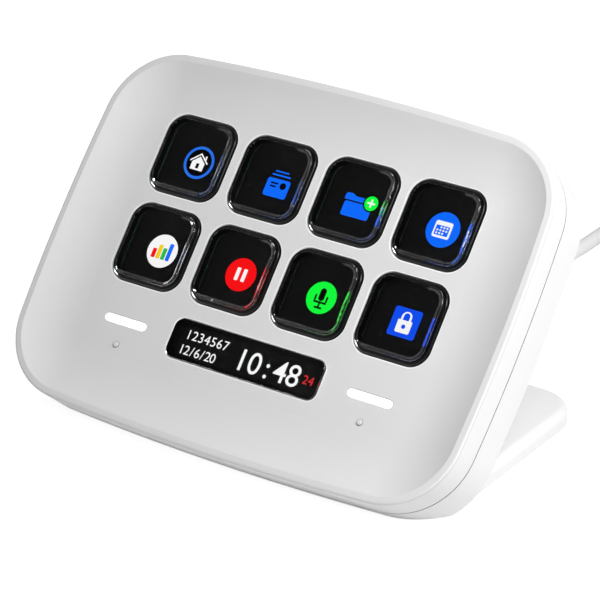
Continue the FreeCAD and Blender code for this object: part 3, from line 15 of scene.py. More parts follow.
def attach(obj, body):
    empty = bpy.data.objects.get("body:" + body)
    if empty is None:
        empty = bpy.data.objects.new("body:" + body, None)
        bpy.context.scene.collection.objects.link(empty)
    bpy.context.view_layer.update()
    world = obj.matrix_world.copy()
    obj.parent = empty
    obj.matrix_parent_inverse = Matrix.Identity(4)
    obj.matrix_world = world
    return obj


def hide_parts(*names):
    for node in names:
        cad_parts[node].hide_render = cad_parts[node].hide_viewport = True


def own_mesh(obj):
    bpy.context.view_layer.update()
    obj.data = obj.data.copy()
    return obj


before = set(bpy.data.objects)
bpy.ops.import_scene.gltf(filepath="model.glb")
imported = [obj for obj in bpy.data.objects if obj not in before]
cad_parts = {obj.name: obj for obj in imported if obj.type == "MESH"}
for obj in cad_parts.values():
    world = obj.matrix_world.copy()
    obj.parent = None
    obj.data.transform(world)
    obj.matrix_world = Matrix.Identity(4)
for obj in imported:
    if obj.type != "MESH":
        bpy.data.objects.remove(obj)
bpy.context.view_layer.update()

MM = 0.001
LEAN = math.radians(50)
HEAD_PLACE = Vector((0, -14.95, 34.3)) * MM
HEAD = Matrix.Translation(HEAD_PLACE) @ Matrix.Rotation(LEAN, 4, "X")
ACROSS, UP, OUT = (HEAD.to_3x3() @ Vector(axis) for axis in ((1, 0, 0), (0, 1, 0), (0, 0, 1)))
BACKWARDS = HEAD.to_3x3() @ Vector((0, 0, -1))

KEY_PITCH = Vector((19.6, 19.8)) * MM
KEY_GRID_UP = 7.9 * MM
KEY_ROWS = 2
KEY_COLUMNS = 4
KEY_NUMBERS = range(1, KEY_ROWS * KEY_COLUMNS + 1)
OPENING_HALF = (8.65 * MM, 8.65 * MM)
OPENING_CORNER = 4.1 * MM
WINDOW_HALF = (7.8 * MM, 7.8 * MM)
WINDOW_CORNER = 3.15 * MM
CAP_CORE_DEPTH = 2.6 * MM
CAP_BORDER = 0.4 * MM
BAR_CENTRE = Vector((0, -18.5)) * MM
BAR_HALF = Vector((18.1, 4.25)) * MM
BAR_CORNER = 2.0 * MM
STRIP_PLACE = Vector((29.4, -18.6)) * MM
STRIP_HALF = Vector((5.15, 0.9)) * MM
DOT_PLACE = Vector((29.4, -23.6)) * MM
DOT_RADIUS = 0.6 * MM
SEAM_LEVEL = -4.4 * MM
LIP_LEVEL = 2.05 * MM
DISPLAY_DEPTH = 3.5 * MM


# Camera: a long lens from the user's right, a little above

camera_data = bpy.data.cameras.new("camera")
camera_data.lens = 171.3
camera_data.sensor_width = 36
camera = bpy.data.objects.new("camera", camera_data)
camera.location = (0.29164, -0.43775, 0.26870)
camera.rotation_euler = Euler([math.radians(turn) for turn in (64.9225, -0.5079, 34.3734)])
bpy.context.scene.collection.objects.link(camera)
bpy.context.scene.camera = camera
bpy.context.scene.view_settings.view_transform = "Standard"


# Shader helpers


class Nodes:
    """A node tree, and short ways to add to it."""

    def __init__(self, tree):
        self.tree = tree

    def node(self, kind, **settings):
        node = self.tree.nodes.new(kind)
        for name, value in settings.items():
            setattr(node, name, value)
        return node

    def link(self, source, target):
        self.tree.links.new(source, target)

    def math(self, operation, first, second=0.0):
        node = self.node("ShaderNodeMath", operation=operation)
        for socket, value in zip(node.inputs, (first, second)):
            if isinstance(value, (int, float)):
                socket.default_value = value
            else:
                self.link(value, socket)
        return node.outputs[0]

    def dot(self, vector, direction):
        node = self.node("ShaderNodeVectorMath", operation="DOT_PRODUCT")
        self.link(vector, node.inputs[0])
        node.inputs[1].default_value = direction
        return node.outputs["Value"]

    def step(self, value, low, high, at_low=0.0, at_high=1.0):
        """One value up to low, another from high on, and a smooth change between them."""
        node = self.node("ShaderNodeMapRange", interpolation_type="SMOOTHSTEP")
        self.link(value, node.inputs["Value"])
        limits = {"From Min": low, "From Max": high, "To Min": at_low, "To Max": at_high}
        for name, limit in limits.items():
            node.inputs[name].default_value = limit
        return node.outputs["Result"]

    def mix(self, factor, first, second):
        """The first shader where the factor is 0, the second where it is 1."""
        node = self.node("ShaderNodeMixShader")
        for socket, source in zip(node.inputs, (factor, first, second)):
            self.link(source, socket)
        return node.outputs[0]


class Shader(Nodes):
    """A material's node tree, with one Principled shader as its surface."""

    def __init__(self, name):
        self.material = bpy.data.materials.new(name)
        self.material.use_nodes = True
        super().__init__(self.material.node_tree)
        self.surface = self.tree.nodes["Principled BSDF"]
        self.output = self.tree.nodes["Material Output"]

    def put(self, **values):
        """Sets sockets of the Principled shader, named with underscores for spaces."""
        for name, value in values.items():
            self.surface.inputs[name.replace("_", " ")].default_value = value

    def place(self):
        """The point on the piece in its own coordinates, which move with it."""
        return self.node("ShaderNodeTexCoord").outputs["Object"]

    def facing(self):
        """1 where the surface faces out of the head, 0 where it stands upright on it, -1 at its back."""
        return self.dot(self.node("ShaderNodeTexCoord").outputs["Normal"], OUT)

    def on_head(self):
        """The point on the piece in the head's frame: across, up and out."""
        place = self.place()
        axes = (ACROSS, UP, OUT)
        return [self.math("SUBTRACT", self.dot(place, axis), axis.dot(HEAD_PLACE)) for axis in axes]

    def in_key_cell(self, across, up):
        """Across and up from the middle of the nearest place of the key grid."""
        folded = []
        for value, pitch, shift in ((across, KEY_PITCH.x, 0.0), (up, KEY_PITCH.y, KEY_GRID_UP)):
            cells = self.math("DIVIDE", self.math("SUBTRACT", value, shift), pitch)
            share = self.math("SUBTRACT", self.math("FRACT", cells), 0.5)
            folded.append(self.math("MULTIPLY", share, pitch))
        return folded

    def band(self, value, low, high, soft):
        """1 between low and high, falling to 0 over a soft edge on both sides."""
        past_high = self.step(value, high, high + soft)
        return self.math("MULTIPLY", self.step(value, low - soft, low), self.math("SUBTRACT", 1.0, past_high))

    def outside_of(self, across, up, half, corner):
        """Distance outside a rectangle with round corners, negative inside it."""
        half_across, half_up = half
        x = self.math("SUBTRACT", self.math("ABSOLUTE", across), half_across - corner)
        y = self.math("SUBTRACT", self.math("ABSOLUTE", up), half_up - corner)
        past_x, past_y = self.math("MAXIMUM", x, 0.0), self.math("MAXIMUM", y, 0.0)
        square = self.math("ADD", self.math("MULTIPLY", past_x, past_x),
                           self.math("MULTIPLY", past_y, past_y))
        inner = self.math("MINIMUM", self.math("MAXIMUM", x, y), 0.0)
        return self.math("SUBTRACT", self.math("ADD", self.math("SQRT", square), inner), corner)

    def outline(self, across, up, place, half, corner, line):
        """1 on a line round a rectangle with round corners. The line is given by its low and high distance
        outside the rectangle and the width of its soft edges."""
        shifted = [self.math("SUBTRACT", value, centre) for value, centre in zip((across, up), place)]
        return self.band(self.outside_of(*shifted, half, corner), *line)

    def noise(self, size, detail=2.0, stretch=None):
        """Noise whose features are about so many metres across."""
        node = self.node("ShaderNodeTexNoise")
        node.inputs["Scale"].default_value = 1 / size
        node.inputs["Detail"].default_value = detail
        place = self.place()
        if stretch:
            scaled = self.node("ShaderNodeVectorMath", operation="MULTIPLY")
            self.link(place, scaled.inputs[0])
            scaled.inputs[1].default_value = stretch
            place = scaled.outputs[0]
        self.link(place, node.inputs["Vector"])
        return node.outputs["Fac"]

    def blend(self, factor):
        """A colour mix node that runs with the factor."""
        mix = self.node("ShaderNodeMix", data_type="RGBA")
        self.link(factor, mix.inputs[0])
        return mix

    def vary(self, factor, socket, low, high):
        """Lets a socket run between two values, or two colours, with the factor."""
        if isinstance(low, tuple):
            mix = self.blend(factor)
            mix.inputs[6].default_value = (*low, 1)
            mix.inputs[7].default_value = (*high, 1)
            self.link(mix.outputs[2], self.surface.inputs[socket])
        else:
            node = self.node("ShaderNodeMapRange")
            self.link(factor, node.inputs["Value"])
            limits = {"From Min": 0.3, "From Max": 0.7, "To Min": low, "To Max": high}
            for name, limit in limits.items():
                node.inputs[name].default_value = limit
            self.link(node.outputs["Result"], self.surface.inputs[socket])

    def paint(self, factor, colour):
        """Lays a colour over the varied base colour where the factor is 1."""
        base = self.surface.inputs["Base Color"]
        mix = self.blend(factor)
        self.link(base.links[0].from_socket, mix.inputs[6])
        mix.inputs[7].default_value = (*colour, 1)
        self.link(mix.outputs[2], base)

    def bump(self, height, depth):
        """Relief of about so many metres, from a height between 0 and 1."""
        node = self.node("ShaderNodeBump")
        node.inputs["Strength"].default_value = 1.0
        node.inputs["Distance"].default_value = depth
        self.link(height, node.inputs["Height"])
        self.link(node.outputs["Normal"], self.surface.inputs["Normal"])


# Materials

WHITE = (0.80, 0.80, 0.80)
# Painted highlight: white laid round the key and bar openings.
PAINTED_HIGHLIGHT_WHITE = (1.0, 1.0, 1.0)
# Painted shade in the gap of the parting line.
SEAM_PAINTED_SHADE_GREY = (0.10, 0.10, 0.10)
# Painted shade round the light strips and the dots.
PAINTED_SHADE_GREY = (0.42, 0.42, 0.42)
# Painted shade along the outside of the lip.
LIP_PAINTED_SHADE_GREY = (0.50, 0.50, 0.50)
BLACK = (0.002, 0.002, 0.002, 1)

# Painted highlight and painted shade lines on the case. The first four have a low edge, a high edge and a
# softness, outside an outline.
KEY_PAINTED_HIGHLIGHT = (-0.05 * MM, 0.30 * MM, 0.06 * MM)
BAR_PAINTED_HIGHLIGHT = (-0.05 * MM, 0.24 * MM, 0.06 * MM)
STRIP_PAINTED_SHADE = (-0.06 * MM, 0.08 * MM, 0.05 * MM)
DOT_PAINTED_SHADE = (-0.04 * MM, 0.10 * MM, 0.05 * MM)
LINE_SOFTNESS = 0.05 * MM
SEAM_HALF = 0.14 * MM
LIP_BELOW = 0.09 * MM
LIP_ABOVE = 0.05 * MM
FRONT_LEVELS = (-2.0 * MM, -1.5 * MM)
UPRIGHT_UP_TO = (0.3, 0.6)

# The window at the back of a cap or lens, and the bevel along the window of a cap
PAINT_SOFTNESS = 0.03 * MM
WINDOW_DEPTH_RANGE = 0.4 * MM
FLAT_FROM = (0.8, 0.9)
BEVEL_START = 0.95 * MM
BEVEL_RUN = 0.5 * MM
BEVEL_CURVE = 1.25
BEVEL_DEPTH = -0.10 * MM
BEVEL_LOWER_RIGHT = -0.68 * MM
BEVEL_WAVER = 0.12 * MM
BEVEL_SLANT = 0.6
BEVEL_SIDES = (-3 * MM, 2 * MM)
BEVEL_LEVELS = (0.3 * MM, 0.5 * MM)


def moulded(name, colour, roughness, grain=0.25 * MM, depth=0.006 * MM, mottle=0.97):
    """Moulded plastic or rubber: a fine spark-eroded grain and a hardly visible mottle."""
    shader = Shader(name)
    shader.put(IOR=1.47, Specular_IOR_Level=0.25)
    shader.bump(shader.noise(grain, 3.0), depth)
    shader.vary(shader.noise(14 * MM), "Base Color", tuple(c * mottle for c in colour), colour)
    shader.vary(shader.noise(3 * MM), "Roughness", roughness * 0.94, roughness * 1.06)
    return shader


def case_material():
    """White plastic with a painted highlight round the openings, and thin lines of painted shade round the
    strips and dots, along the outside of the lip and in the gap at the parting line."""
    shader = moulded("white_plastic", WHITE, 0.40)
    across, up, out = shader.on_head()
    front = shader.step(out, *FRONT_LEVELS)

    grid_up = shader.math("SUBTRACT", up, KEY_GRID_UP)
    grid_half = (KEY_PITCH.x * KEY_COLUMNS / 2, KEY_PITCH.y * KEY_ROWS / 2)
    in_grid = shader.math("LESS_THAN", shader.outside_of(across, grid_up, grid_half, 0.0), 0.0)
    cell = shader.in_key_cell(across, up)
    # Painted highlight round the key openings inside the grid and round the bar opening.
    keys = shader.outline(*cell, (0.0, 0.0), OPENING_HALF, OPENING_CORNER, KEY_PAINTED_HIGHLIGHT)
    bar = shader.outline(across, up, BAR_CENTRE, BAR_HALF, BAR_CORNER, BAR_PAINTED_HIGHLIGHT)
    light = shader.math("MAXIMUM", shader.math("MULTIPLY", keys, in_grid), bar)

    # Painted shade round the light strips and the raised dots.
    side = shader.math("ABSOLUTE", across)
    strip = shader.outline(side, up, STRIP_PLACE, STRIP_HALF, STRIP_HALF.y, STRIP_PAINTED_SHADE)
    dot = shader.outline(side, up, DOT_PLACE, (DOT_RADIUS, DOT_RADIUS), DOT_RADIUS, DOT_PAINTED_SHADE)
    shade = shader.math("MAXIMUM", strip, dot)

    # Painted shade in a band along the outside of the lip, on upright faces only.
    upright = shader.math("SUBTRACT", 1.0, shader.step(shader.facing(), *UPRIGHT_UP_TO))
    lip = shader.band(out, LIP_LEVEL - LIP_BELOW, LIP_LEVEL + LIP_ABOVE, LINE_SOFTNESS)
    # Painted shade in the gap at the parting line between the front cover and the rear shell.
    seam = shader.band(out, SEAM_LEVEL - SEAM_HALF, SEAM_LEVEL + SEAM_HALF, LINE_SOFTNESS)

    # Lays the painted highlight, then the painted shade lines, into the white colour.
    shader.paint(shader.math("MULTIPLY", light, front), PAINTED_HIGHLIGHT_WHITE)
    shader.paint(shader.math("MULTIPLY", shade, front), PAINTED_SHADE_GREY)
    shader.paint(shader.math("MULTIPLY", lip, upright), LIP_PAINTED_SHADE_GREY)
    shader.paint(seam, SEAM_PAINTED_SHADE_GREY)
    return shader.material


def board_material():
    """Green solder mask with a faint weave of the laminate under it."""
    shader = Shader("board")
    shader.put(Roughness=0.32, Coat_Weight=0.3)
    shader.vary(shader.noise(0.6 * MM, 1.0), "Base Color", (0.010, 0.060, 0.030), (0.014, 0.085, 0.040))
    shader.bump(shader.noise(0.4 * MM, 1.0), 0.01 * MM)
    return shader.material


def metal(name, colour, roughness, stretch):
    """Plated or drawn steel, with fine marks along one way."""
    shader = Shader(name)
    shader.put(Metallic=1.0, Base_Color=(*colour, 1))
    shader.vary(shader.noise(0.5 * MM, 4.0, stretch), "Roughness", roughness * 0.7, roughness * 1.3)
    shader.bump(shader.noise(0.3 * MM, 3.0, stretch), 0.004 * MM)
    return shader.material


def panel_material():
    """The display's dark front glass."""
    shader = Shader("panel_glass")
    shader.put(Base_Color=BLACK, Specular_IOR_Level=0.1)
    shader.put(Emission_Color=(1, 1, 1, 1), Emission_Strength=0.002)
    shader.vary(shader.noise(20 * MM), "Roughness", 0.12, 0.18)
    return shader.material


def clear_material(name, back_depth, border):
    """Clear plastic, painted black up to its border's level, but for the window at the back of its core."""
    shader = Shader(name)
    shader.put(Base_Color=(0.98, 0.985, 0.99, 1), Transmission_Weight=1.0, IOR=1.49, Roughness=0.0)
    shader.put(Specular_IOR_Level=0.3)
    paint = shader.node("ShaderNodeBsdfPrincipled")
    paint.inputs["Base Color"].default_value = BLACK
    paint.inputs["Roughness"].default_value = 0.04
    paint.inputs["Specular IOR Level"].default_value = 0.2
    level = shader.on_head()[2]
    below = shader.math("SUBTRACT", 1.0, shader.step(level, border, border + PAINT_SOFTNESS))
    flat = shader.step(shader.math("ABSOLUTE", shader.facing()), *FLAT_FROM)
    deep = shader.math("SUBTRACT", 1.0, shader.step(level, -back_depth, -back_depth + WINDOW_DEPTH_RANGE))
    window = shader.math("MULTIPLY", flat, deep)
    painted = shader.math("MULTIPLY", below, shader.math("SUBTRACT", 1.0, window))
    mixed = shader.mix(painted, shader.surface.outputs[0], paint.outputs[0])
    shader.link(mixed, shader.output.inputs["Surface"])
    return shader


def key_material():
    """The clear cap, with a lens-like bevel along its window that catches the light of its picture. The bevel
    is deeper at the lower right."""
    shader = clear_material("clear_key", CAP_CORE_DEPTH, CAP_BORDER + 0.02 * MM)
    across, up, level = shader.on_head()
    across, up = shader.in_key_cell(across, up)
    edge = shader.outside_of(across, up, WINDOW_HALF, WINDOW_CORNER)
    waver = shader.math("MULTIPLY", shader.math("SUBTRACT", shader.noise(1.1 * MM), 0.5), BEVEL_WAVER)
    past_start = shader.math("ADD", shader.math("ADD", edge, waver), BEVEL_START)
    share = shader.math("DIVIDE", past_start, BEVEL_RUN)
    share = shader.math("MINIMUM", shader.math("MAXIMUM", share, 0.0), 1.0)
    toward_corner = shader.math("SUBTRACT", across, shader.math("MULTIPLY", up, BEVEL_SLANT))
    lower_right = shader.step(toward_corner, *BEVEL_SIDES)
    depth = shader.math("ADD", shader.math("MULTIPLY", lower_right, BEVEL_LOWER_RIGHT), BEVEL_DEPTH)
    drop = shader.math("MULTIPLY", shader.math("POWER", share, BEVEL_CURVE), depth)
    on_top = shader.step(level, *BEVEL_LEVELS)
    shader.bump(shader.math("MULTIPLY", drop, on_top), 1.0)
    return shader.material


def strap_material():
    """Hook-and-loop strap: a tight weave with a soft pile."""
    shader = Shader("strap")
    shader.put(Roughness=0.95, Sheen_Weight=0.4)
    wave = shader.node("ShaderNodeTexWave")
    wave.inputs["Scale"].default_value = 900
    wave.inputs["Distortion"].default_value = 2.0
    shader.link(shader.place(), wave.inputs["Vector"])
    shader.bump(wave.outputs["Fac"], 0.08 * MM)
    shader.vary(shader.noise(0.5 * MM), "Base Color", (0.012, 0.012, 0.013), (0.03, 0.03, 0.032))
    return shader.material


def light_bar_material():
    """Milky plastic lit from behind."""
    shader = Shader("light_bar")
    shader.put(Base_Color=(0.9, 0.9, 0.9, 1), Roughness=0.35)
    shader.put(Emission_Color=(1, 1, 1, 1), Emission_Strength=0.75)
    shader.bump(shader.noise(0.2 * MM), 0.003 * MM)
    return shader.material


def glowing(name, colour, strength):
    """A lit patch of the display, or a lit window."""
    shader = Shader(name)
    shader.put(Base_Color=(0.0, 0.0, 0.0, 1), Roughness=0.6, Specular_IOR_Level=0.0)
    shader.put(Emission_Color=(*colour, 1), Emission_Strength=strength)
    return shader.material


silicone = moulded("silicone", (0.10, 0.10, 0.105), 0.62).material
cord_sheath = moulded("cord_sheath", (0.88, 0.88, 0.88), 0.50, grain=0.4 * MM, depth=0.01 * MM).material
pad_rubber = moulded("pad_rubber", (0.045, 0.045, 0.048), 0.72, grain=0.5 * MM, depth=0.03 * MM).material

NODE_MATERIALS = {
    case_material(): ["front_cover", "rear_shell"],
    moulded("foot_plastic", WHITE, 0.44).material: ["stand_foot"],
    pad_rubber: ["foot_pad"],
    silicone: ["key_mat"],
    key_material(): [f"key_{number}" for number in KEY_NUMBERS],
    clear_material("clear_bar", DISPLAY_DEPTH - 0.3 * MM, 0.0).material: ["info_lens"],
    light_bar_material(): ["touch_light_left", "touch_light_right"],
    glowing("emitter_light", (1.0, 0.95, 0.85), 0.5): ["touch_emitters"],
    board_material(): ["contact_board", "main_board"],
    panel_material(): ["display_panel"],
    moulded("dark_plastic", (0.02, 0.02, 0.022), 0.55).material: ["display_frame"],
    metal("screw_steel", (0.45, 0.45, 0.46), 0.35, (1, 1, 1)): [
        "case_screws", "board_screws", "stand_screws"],
    cord_sheath: ["cable_gland"],
    strap_material(): ["cable_tie"],
    moulded("grip_plastic", (0.78, 0.78, 0.78), 0.42).material: ["plug_grip"],
    metal("plug_metal", (0.70, 0.70, 0.72), 0.22, (1, 0.08, 1)): ["plug_shell"],
    moulded("tongue_plastic", (0.75, 0.75, 0.74), 0.4).material: ["plug_tongue"],
}
for material, names in NODE_MATERIALS.items():
    for name in names:
        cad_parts[name].material_slots[0].material = material


# Collars


def make_collar(number):
    """A copy of the CAD collar, between the key mat and the cap, in silicone and attached to the base."""
    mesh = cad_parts[f"key_collar_{number}"].data.copy()
    mesh.materials.clear()
    mesh.materials.append(silicone)
    piece = bpy.data.objects.new(f"collar_{number}", mesh)
    bpy.context.scene.collection.objects.link(piece)
    levels = [-BACKWARDS.dot(vertex.co) for vertex in mesh.vertices]
    foot = min(mesh.vertices, key=lambda vertex: -BACKWARDS.dot(vertex.co)).co.copy()
    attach(piece, "base")
    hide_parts(f"key_collar_{number}")
    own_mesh(piece)


for number in KEY_NUMBERS:
    make_collar(number)


# Pictures on the display: flat lit shapes just in front of the panel, given in millimetres

LAYER = 0.02 * MM
BLUE = glowing("lit_blue", (0.003, 0.146, 1.0), 1.05)
RING_BLUE = glowing("lit_ring_blue", (0.020, 0.17, 0.85), 1.0)
DEEP_BLUE = glowing("lit_deep_blue", (0.004, 0.078, 0.90), 1.0)
WHITE_LIT = glowing("lit_white", (1.0, 1.0, 1.0), 1.0)
RED = glowing("lit_red", (1.0, 0.004, 0.006), 1.0)
SOFT_RED = glowing("lit_soft_red", (0.78, 0.03, 0.035), 1.0)
GREEN = glowing("lit_green", (0.006, 0.96, 0.045), 1.05)
LEAF = glowing("lit_leaf", (0.02, 0.52, 0.065), 1.0)
YELLOW = glowing("lit_yellow", (0.96, 0.66, 0.01), 1.0)
DARK = glowing("unlit", (0.0, 0.0, 0.0), 0.0)


def disc(radius, across=0.0, up=0.0, steps=48):
    return [(across + radius * math.cos(2 * math.pi * n / steps),
             up + radius * math.sin(2 * math.pi * n / steps)) for n in range(steps)]


def block(width, height, across=0.0, up=0.0, radius=0.3, steps=6):
    """A rectangle with round corners."""
    radius = min(radius, width / 2, height / 2)
    points = []
    for corner, (sx, sy) in enumerate(((1, 1), (-1, 1), (-1, -1), (1, -1))):
        for n in range(steps + 1):
            angle = (corner + n / steps) * math.pi / 2
            points.append((across + sx * (width / 2 - radius) + radius * math.cos(angle),
                           up + sy * (height / 2 - radius) + radius * math.sin(angle)))
    return points


def stroke(width, *points):
    """The outlines of straight strokes of one width through the points, each with a small overlap."""
    outlines = []
    for (x0, y0), (x1, y1) in zip(points, points[1:]):
        along = Vector((x1 - x0, y1 - y0)).normalized() * (width / 2)
        side = Vector((-along.y, along.x))
        start, end = Vector((x0, y0)) - along, Vector((x1, y1)) + along
        outlines.append([tuple(start - side), tuple(end - side), tuple(end + side), tuple(start + side)])
    return outlines


def moved(shift, layers):
    dx, dy = shift
    return [(material, [[(x + dx, y + dy) for x, y in outline] for outline in outlines])
            for material, outlines in layers]


def finish_picture(name, mesh, material):
    mesh.materials.clear()
    mesh.materials.append(material)
    piece = bpy.data.objects.new(name, mesh)
    bpy.context.scene.collection.objects.link(piece)
    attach(piece, "base")


def lit_shapes(name, centre, layers):
    """One piece for each layer of a key's picture: its outlines, filled, each layer just over the last."""
    for number, (material, outlines) in enumerate(layers):
        mesh = bpy.data.meshes.new(f"{name}_{number}")
        shape = bmesh.new()
        level = -DISPLAY_DEPTH + LAYER * (number + 1)
        for outline in outlines:
            corners = [HEAD @ Vector((centre[0] + x * MM, centre[1] + y * MM, level)) for x, y in outline]
            shape.faces.new([shape.verts.new(corner) for corner in corners])
        shape.to_mesh(mesh)
        shape.free()
        finish_picture(f"{name}_{number}", mesh, material)


CAPITAL_SHARE = 0.7


def lit_figures(name, text, height, centre, advance, material, bold=0.0):
    """Plain figures on the display, evenly spaced about a place given across and up the bar."""
    meshes = []
    for number, figure in enumerate(text):
        curve = bpy.data.curves.new(name, "FONT")
        curve.body = figure
        curve.align_x = "CENTER"
        curve.align_y = "CENTER"
        curve.size = height * MM / CAPITAL_SHARE
        curve.offset = bold * MM
        curve.resolution_u = 6
        letter = bpy.data.objects.new(name, curve)
        bpy.context.scene.collection.objects.link(letter)
        graph = bpy.context.evaluated_depsgraph_get()
        mesh = bpy.data.meshes.new_from_object(letter.evaluated_get(graph))
        bpy.data.objects.remove(letter)
        across, up = BAR_CENTRE + Vector(centre) * MM
        across += (number - (len(text) - 1) / 2) * advance * MM
        mesh.transform(HEAD @ Matrix.Translation((across, up, -DISPLAY_DEPTH + LAYER)))
        meshes.append(mesh)
    shape = bmesh.new()
    for mesh in meshes:
        shape.from_mesh(mesh)
        bpy.data.meshes.remove(mesh)
    whole = bpy.data.meshes.new(name)
    shape.to_mesh(whole)
    shape.free()
    finish_picture(name, whole, material)


def key_centre(number):
    row, column = divmod(number - 1, KEY_COLUMNS)
    return (KEY_PITCH.x * (column - (KEY_COLUMNS - 1) / 2),
            KEY_GRID_UP + KEY_PITCH.y * ((KEY_ROWS - 1) / 2 - row))


HOUSE = [(-1.62, -1.64), (1.38, -1.7), (1.45, 0.0), (-0.1, 1.33), (-1.68, 0.0)]
FOLDER_BACK = [(-3.55, 0.76), (-3.55, 1.75), (-3.35, 2.1), (-3.05, 2.2), (-2.1, 2.2), (-1.75, 2.08),
               (-1.35, 1.85), (-1.05, 1.76), (1.6, 1.76), (1.6, 0.76)]
CALENDAR_CELLS = [(1, 0), (2, 0), (3, 0), (0, 1), (1, 1), (2, 1), (3, 1), (0, 2), (1, 2), (2, 2)]
CALENDAR_DAYS = [disc(0.21, -1.16 + 0.68 * column, 0.42 - 0.62 * row, 12) for column, row in CALENDAR_CELLS]
PICTURES = {
    "home": moved((0.33, -0.14), [
        (RING_BLUE, [disc(3.54)]),
        (DARK, [disc(2.94)]),
        (WHITE_LIT, [*stroke(0.30, (-2.1, 0.2), (-0.1, 1.9), (1.95, 0.15)), block(0.38, 0.95, 1.3, 1.2, 0.1),
                     HOUSE]),
        (DARK, [block(0.72, 1.1, -0.1, -0.74, 0.08)]),
    ]),
    "cards": [
        (BLUE, [block(5.45, 3.9, 0.40, -0.98, 0.5), block(4.45, 0.34, 0.44, 1.74, 0.17),
                block(3.3, 0.3, 0.34, 2.52, 0.15)]),
        (DARK, [block(1.85, 0.36, -0.48, -0.03, 0.18), block(1.45, 0.36, -0.66, -0.73, 0.18),
                disc(0.74, 1.64, -0.32, 24)]),
    ],
    "folder": [
        (BLUE, [block(6.35, 3.05, -0.11, -1.07, 0.45), FOLDER_BACK]),
        (DARK, [disc(1.84, 2.63, 1.09)]),
        (GREEN, [disc(1.53, 2.63, 1.09)]),
        (WHITE_LIT, [block(1.75, 0.36, 2.63, 1.09, 0.1), block(0.36, 1.75, 2.63, 1.09, 0.1)]),
    ],
    "calendar": moved((0.15, -0.18), [
        (BLUE, [disc(3.66)]),
        (WHITE_LIT, [block(3.85, 3.45, -0.1, 0.0, 0.45)]),
        (BLUE, [block(3.05, 2.05, -0.14, -0.22, 0.12)]),
        (WHITE_LIT, CALENDAR_DAYS),
    ]),
    "chart": moved((0.3, -0.15), [
        (WHITE_LIT, [disc(3.58)]),
        (RED, [block(0.95, 2.0, -1.8, -0.75, 0.2)]),
        (YELLOW, [block(0.95, 3.0, -0.6, -0.25, 0.2)]),
        (LEAF, [block(0.95, 2.5, 0.6, -0.5, 0.2)]),
        (BLUE, [block(0.95, 3.7, 1.8, 0.1, 0.2)]),
    ]),
    "pause": moved((0.3, -0.2), [
        (RED, [disc(3.5)]),
        (WHITE_LIT, [block(0.85, 2.7, -0.8, 0, 0.15), block(0.85, 2.7, 0.8, 0, 0.15)]),
    ]),
    "microphone": moved((0.05, -0.05), [
        (GREEN, [disc(3.35)]),
        (DARK, [block(1.35, 2.7, 0, 0.65, 0.67), block(0.42, 1.0, 0, -1.65, 0.1),
                block(1.8, 0.42, 0, -2.1, 0.2),
                *(block(0.42, 1.3, side * 1.3, -0.15, 0.2) for side in (-1, 1)),
                block(3.0, 0.42, 0, -0.98, 0.2)]),
    ]),
    "padlock": moved((-0.1, -0.15), [
        (DEEP_BLUE, [block(6.15, 5.95, 0, 0, 0.5)]),
        (WHITE_LIT, [block(3.2, 2.5, 0, -0.85, 0.35), block(2.3, 3.0, 0, 0.8, 1.15)]),
        (DEEP_BLUE, [block(1.35, 2.4, 0, 0.8, 0.67)]),
        (WHITE_LIT, [block(3.2, 1.1, 0, -0.05, 0.1)]),
        (DEEP_BLUE, [disc(0.45, 0, -0.8, 16)]),
    ]),
}
for number, (name, layers) in enumerate(PICTURES.items(), start=1):
    lit_shapes(f"picture_{name}", key_centre(number), layers)

lit_figures("picture_hour", "10:48", 4.5, (4.45, -0.3), 3.08, WHITE_LIT, bold=0.01)
lit_figures("picture_day", "12/6/20", 1.95, (-12.0, -1.7), 1.27, WHITE_LIT)
lit_figures("picture_week", "1234567", 1.95, (-10.9, 1.5), 1.5, WHITE_LIT)
lit_figures("picture_mark", "24", 1.8, (14.1, -0.15), 1.3, SOFT_RED)


# Cable: one smooth line from the strain relief over the desk, through the coil and to the plug

CORD_RADIUS = 1.7 * MM
GLAND_TIP = HEAD @ (Vector((0, 5, -27.9)) * MM)
FIRST_RUN = 11 * MM
LAST_RUN = 13 * MM
DESK_ROUTE = [(0.3, 30.4, 5.8), (1.0, 43.9, 1.7), (3.0, 58.9, 1.7), (6.0, 75.9, 1.7), (8.2, 92.4, 1.7)]
COIL_MIDDLE = Vector((32.5, 122.9, 0)) * MM
COIL_INNER = 11.4 * MM
COIL_PITCH = 4.0 * MM
COIL_TURNS = 3
COIL_LAYERS = 4
COIL_BASE = 2.4 * MM
CLIMB = 0.25
POINTS_PER_TURN = 24
TAIL_ROUTE = [(-26.0, 18.5, -0.3), (-17.5, 32.5, -2.4), (-2.0, 38.5, -5.0), (15.0, 35.0, -7.4),
              (28.0, 22.5, -9.4)]
TAIL_LAST_RUN = 16 * MM
PLUG_OFFSET = Vector((31.1, -12, 4)) * MM


def coil_place(turns):
    """The cord's middle after so many turns, spiralling in and out and climbing where it reverses."""
    layer = min(int(turns / COIL_TURNS), COIL_LAYERS - 1)
    share = turns / COIL_TURNS - layer
    inwards = share if layer % 2 == 0 else 1 - share
    radius = COIL_INNER + (1 - inwards) * COIL_PITCH * COIL_TURNS
    level = layer
    into, left = turns - layer * COIL_TURNS, (layer + 1) * COIL_TURNS - turns
    if layer > 0 and into < CLIMB:
        level = layer - 0.5 + into / CLIMB / 2
    if layer < COIL_LAYERS - 1 and left < CLIMB:
        level = layer + 0.5 - left / CLIMB / 2
    angle = math.pi - 2 * math.pi * turns
    # The spline cuts inside its control points, so they lie a little outside the turn.
    radius /= 0.75 + 0.25 * math.cos(2 * math.pi / POINTS_PER_TURN)
    flat = Vector((math.cos(angle), math.sin(angle), 0)) * radius
    return COIL_MIDDLE + flat + Vector((0, 0, COIL_BASE + level * COIL_PITCH))


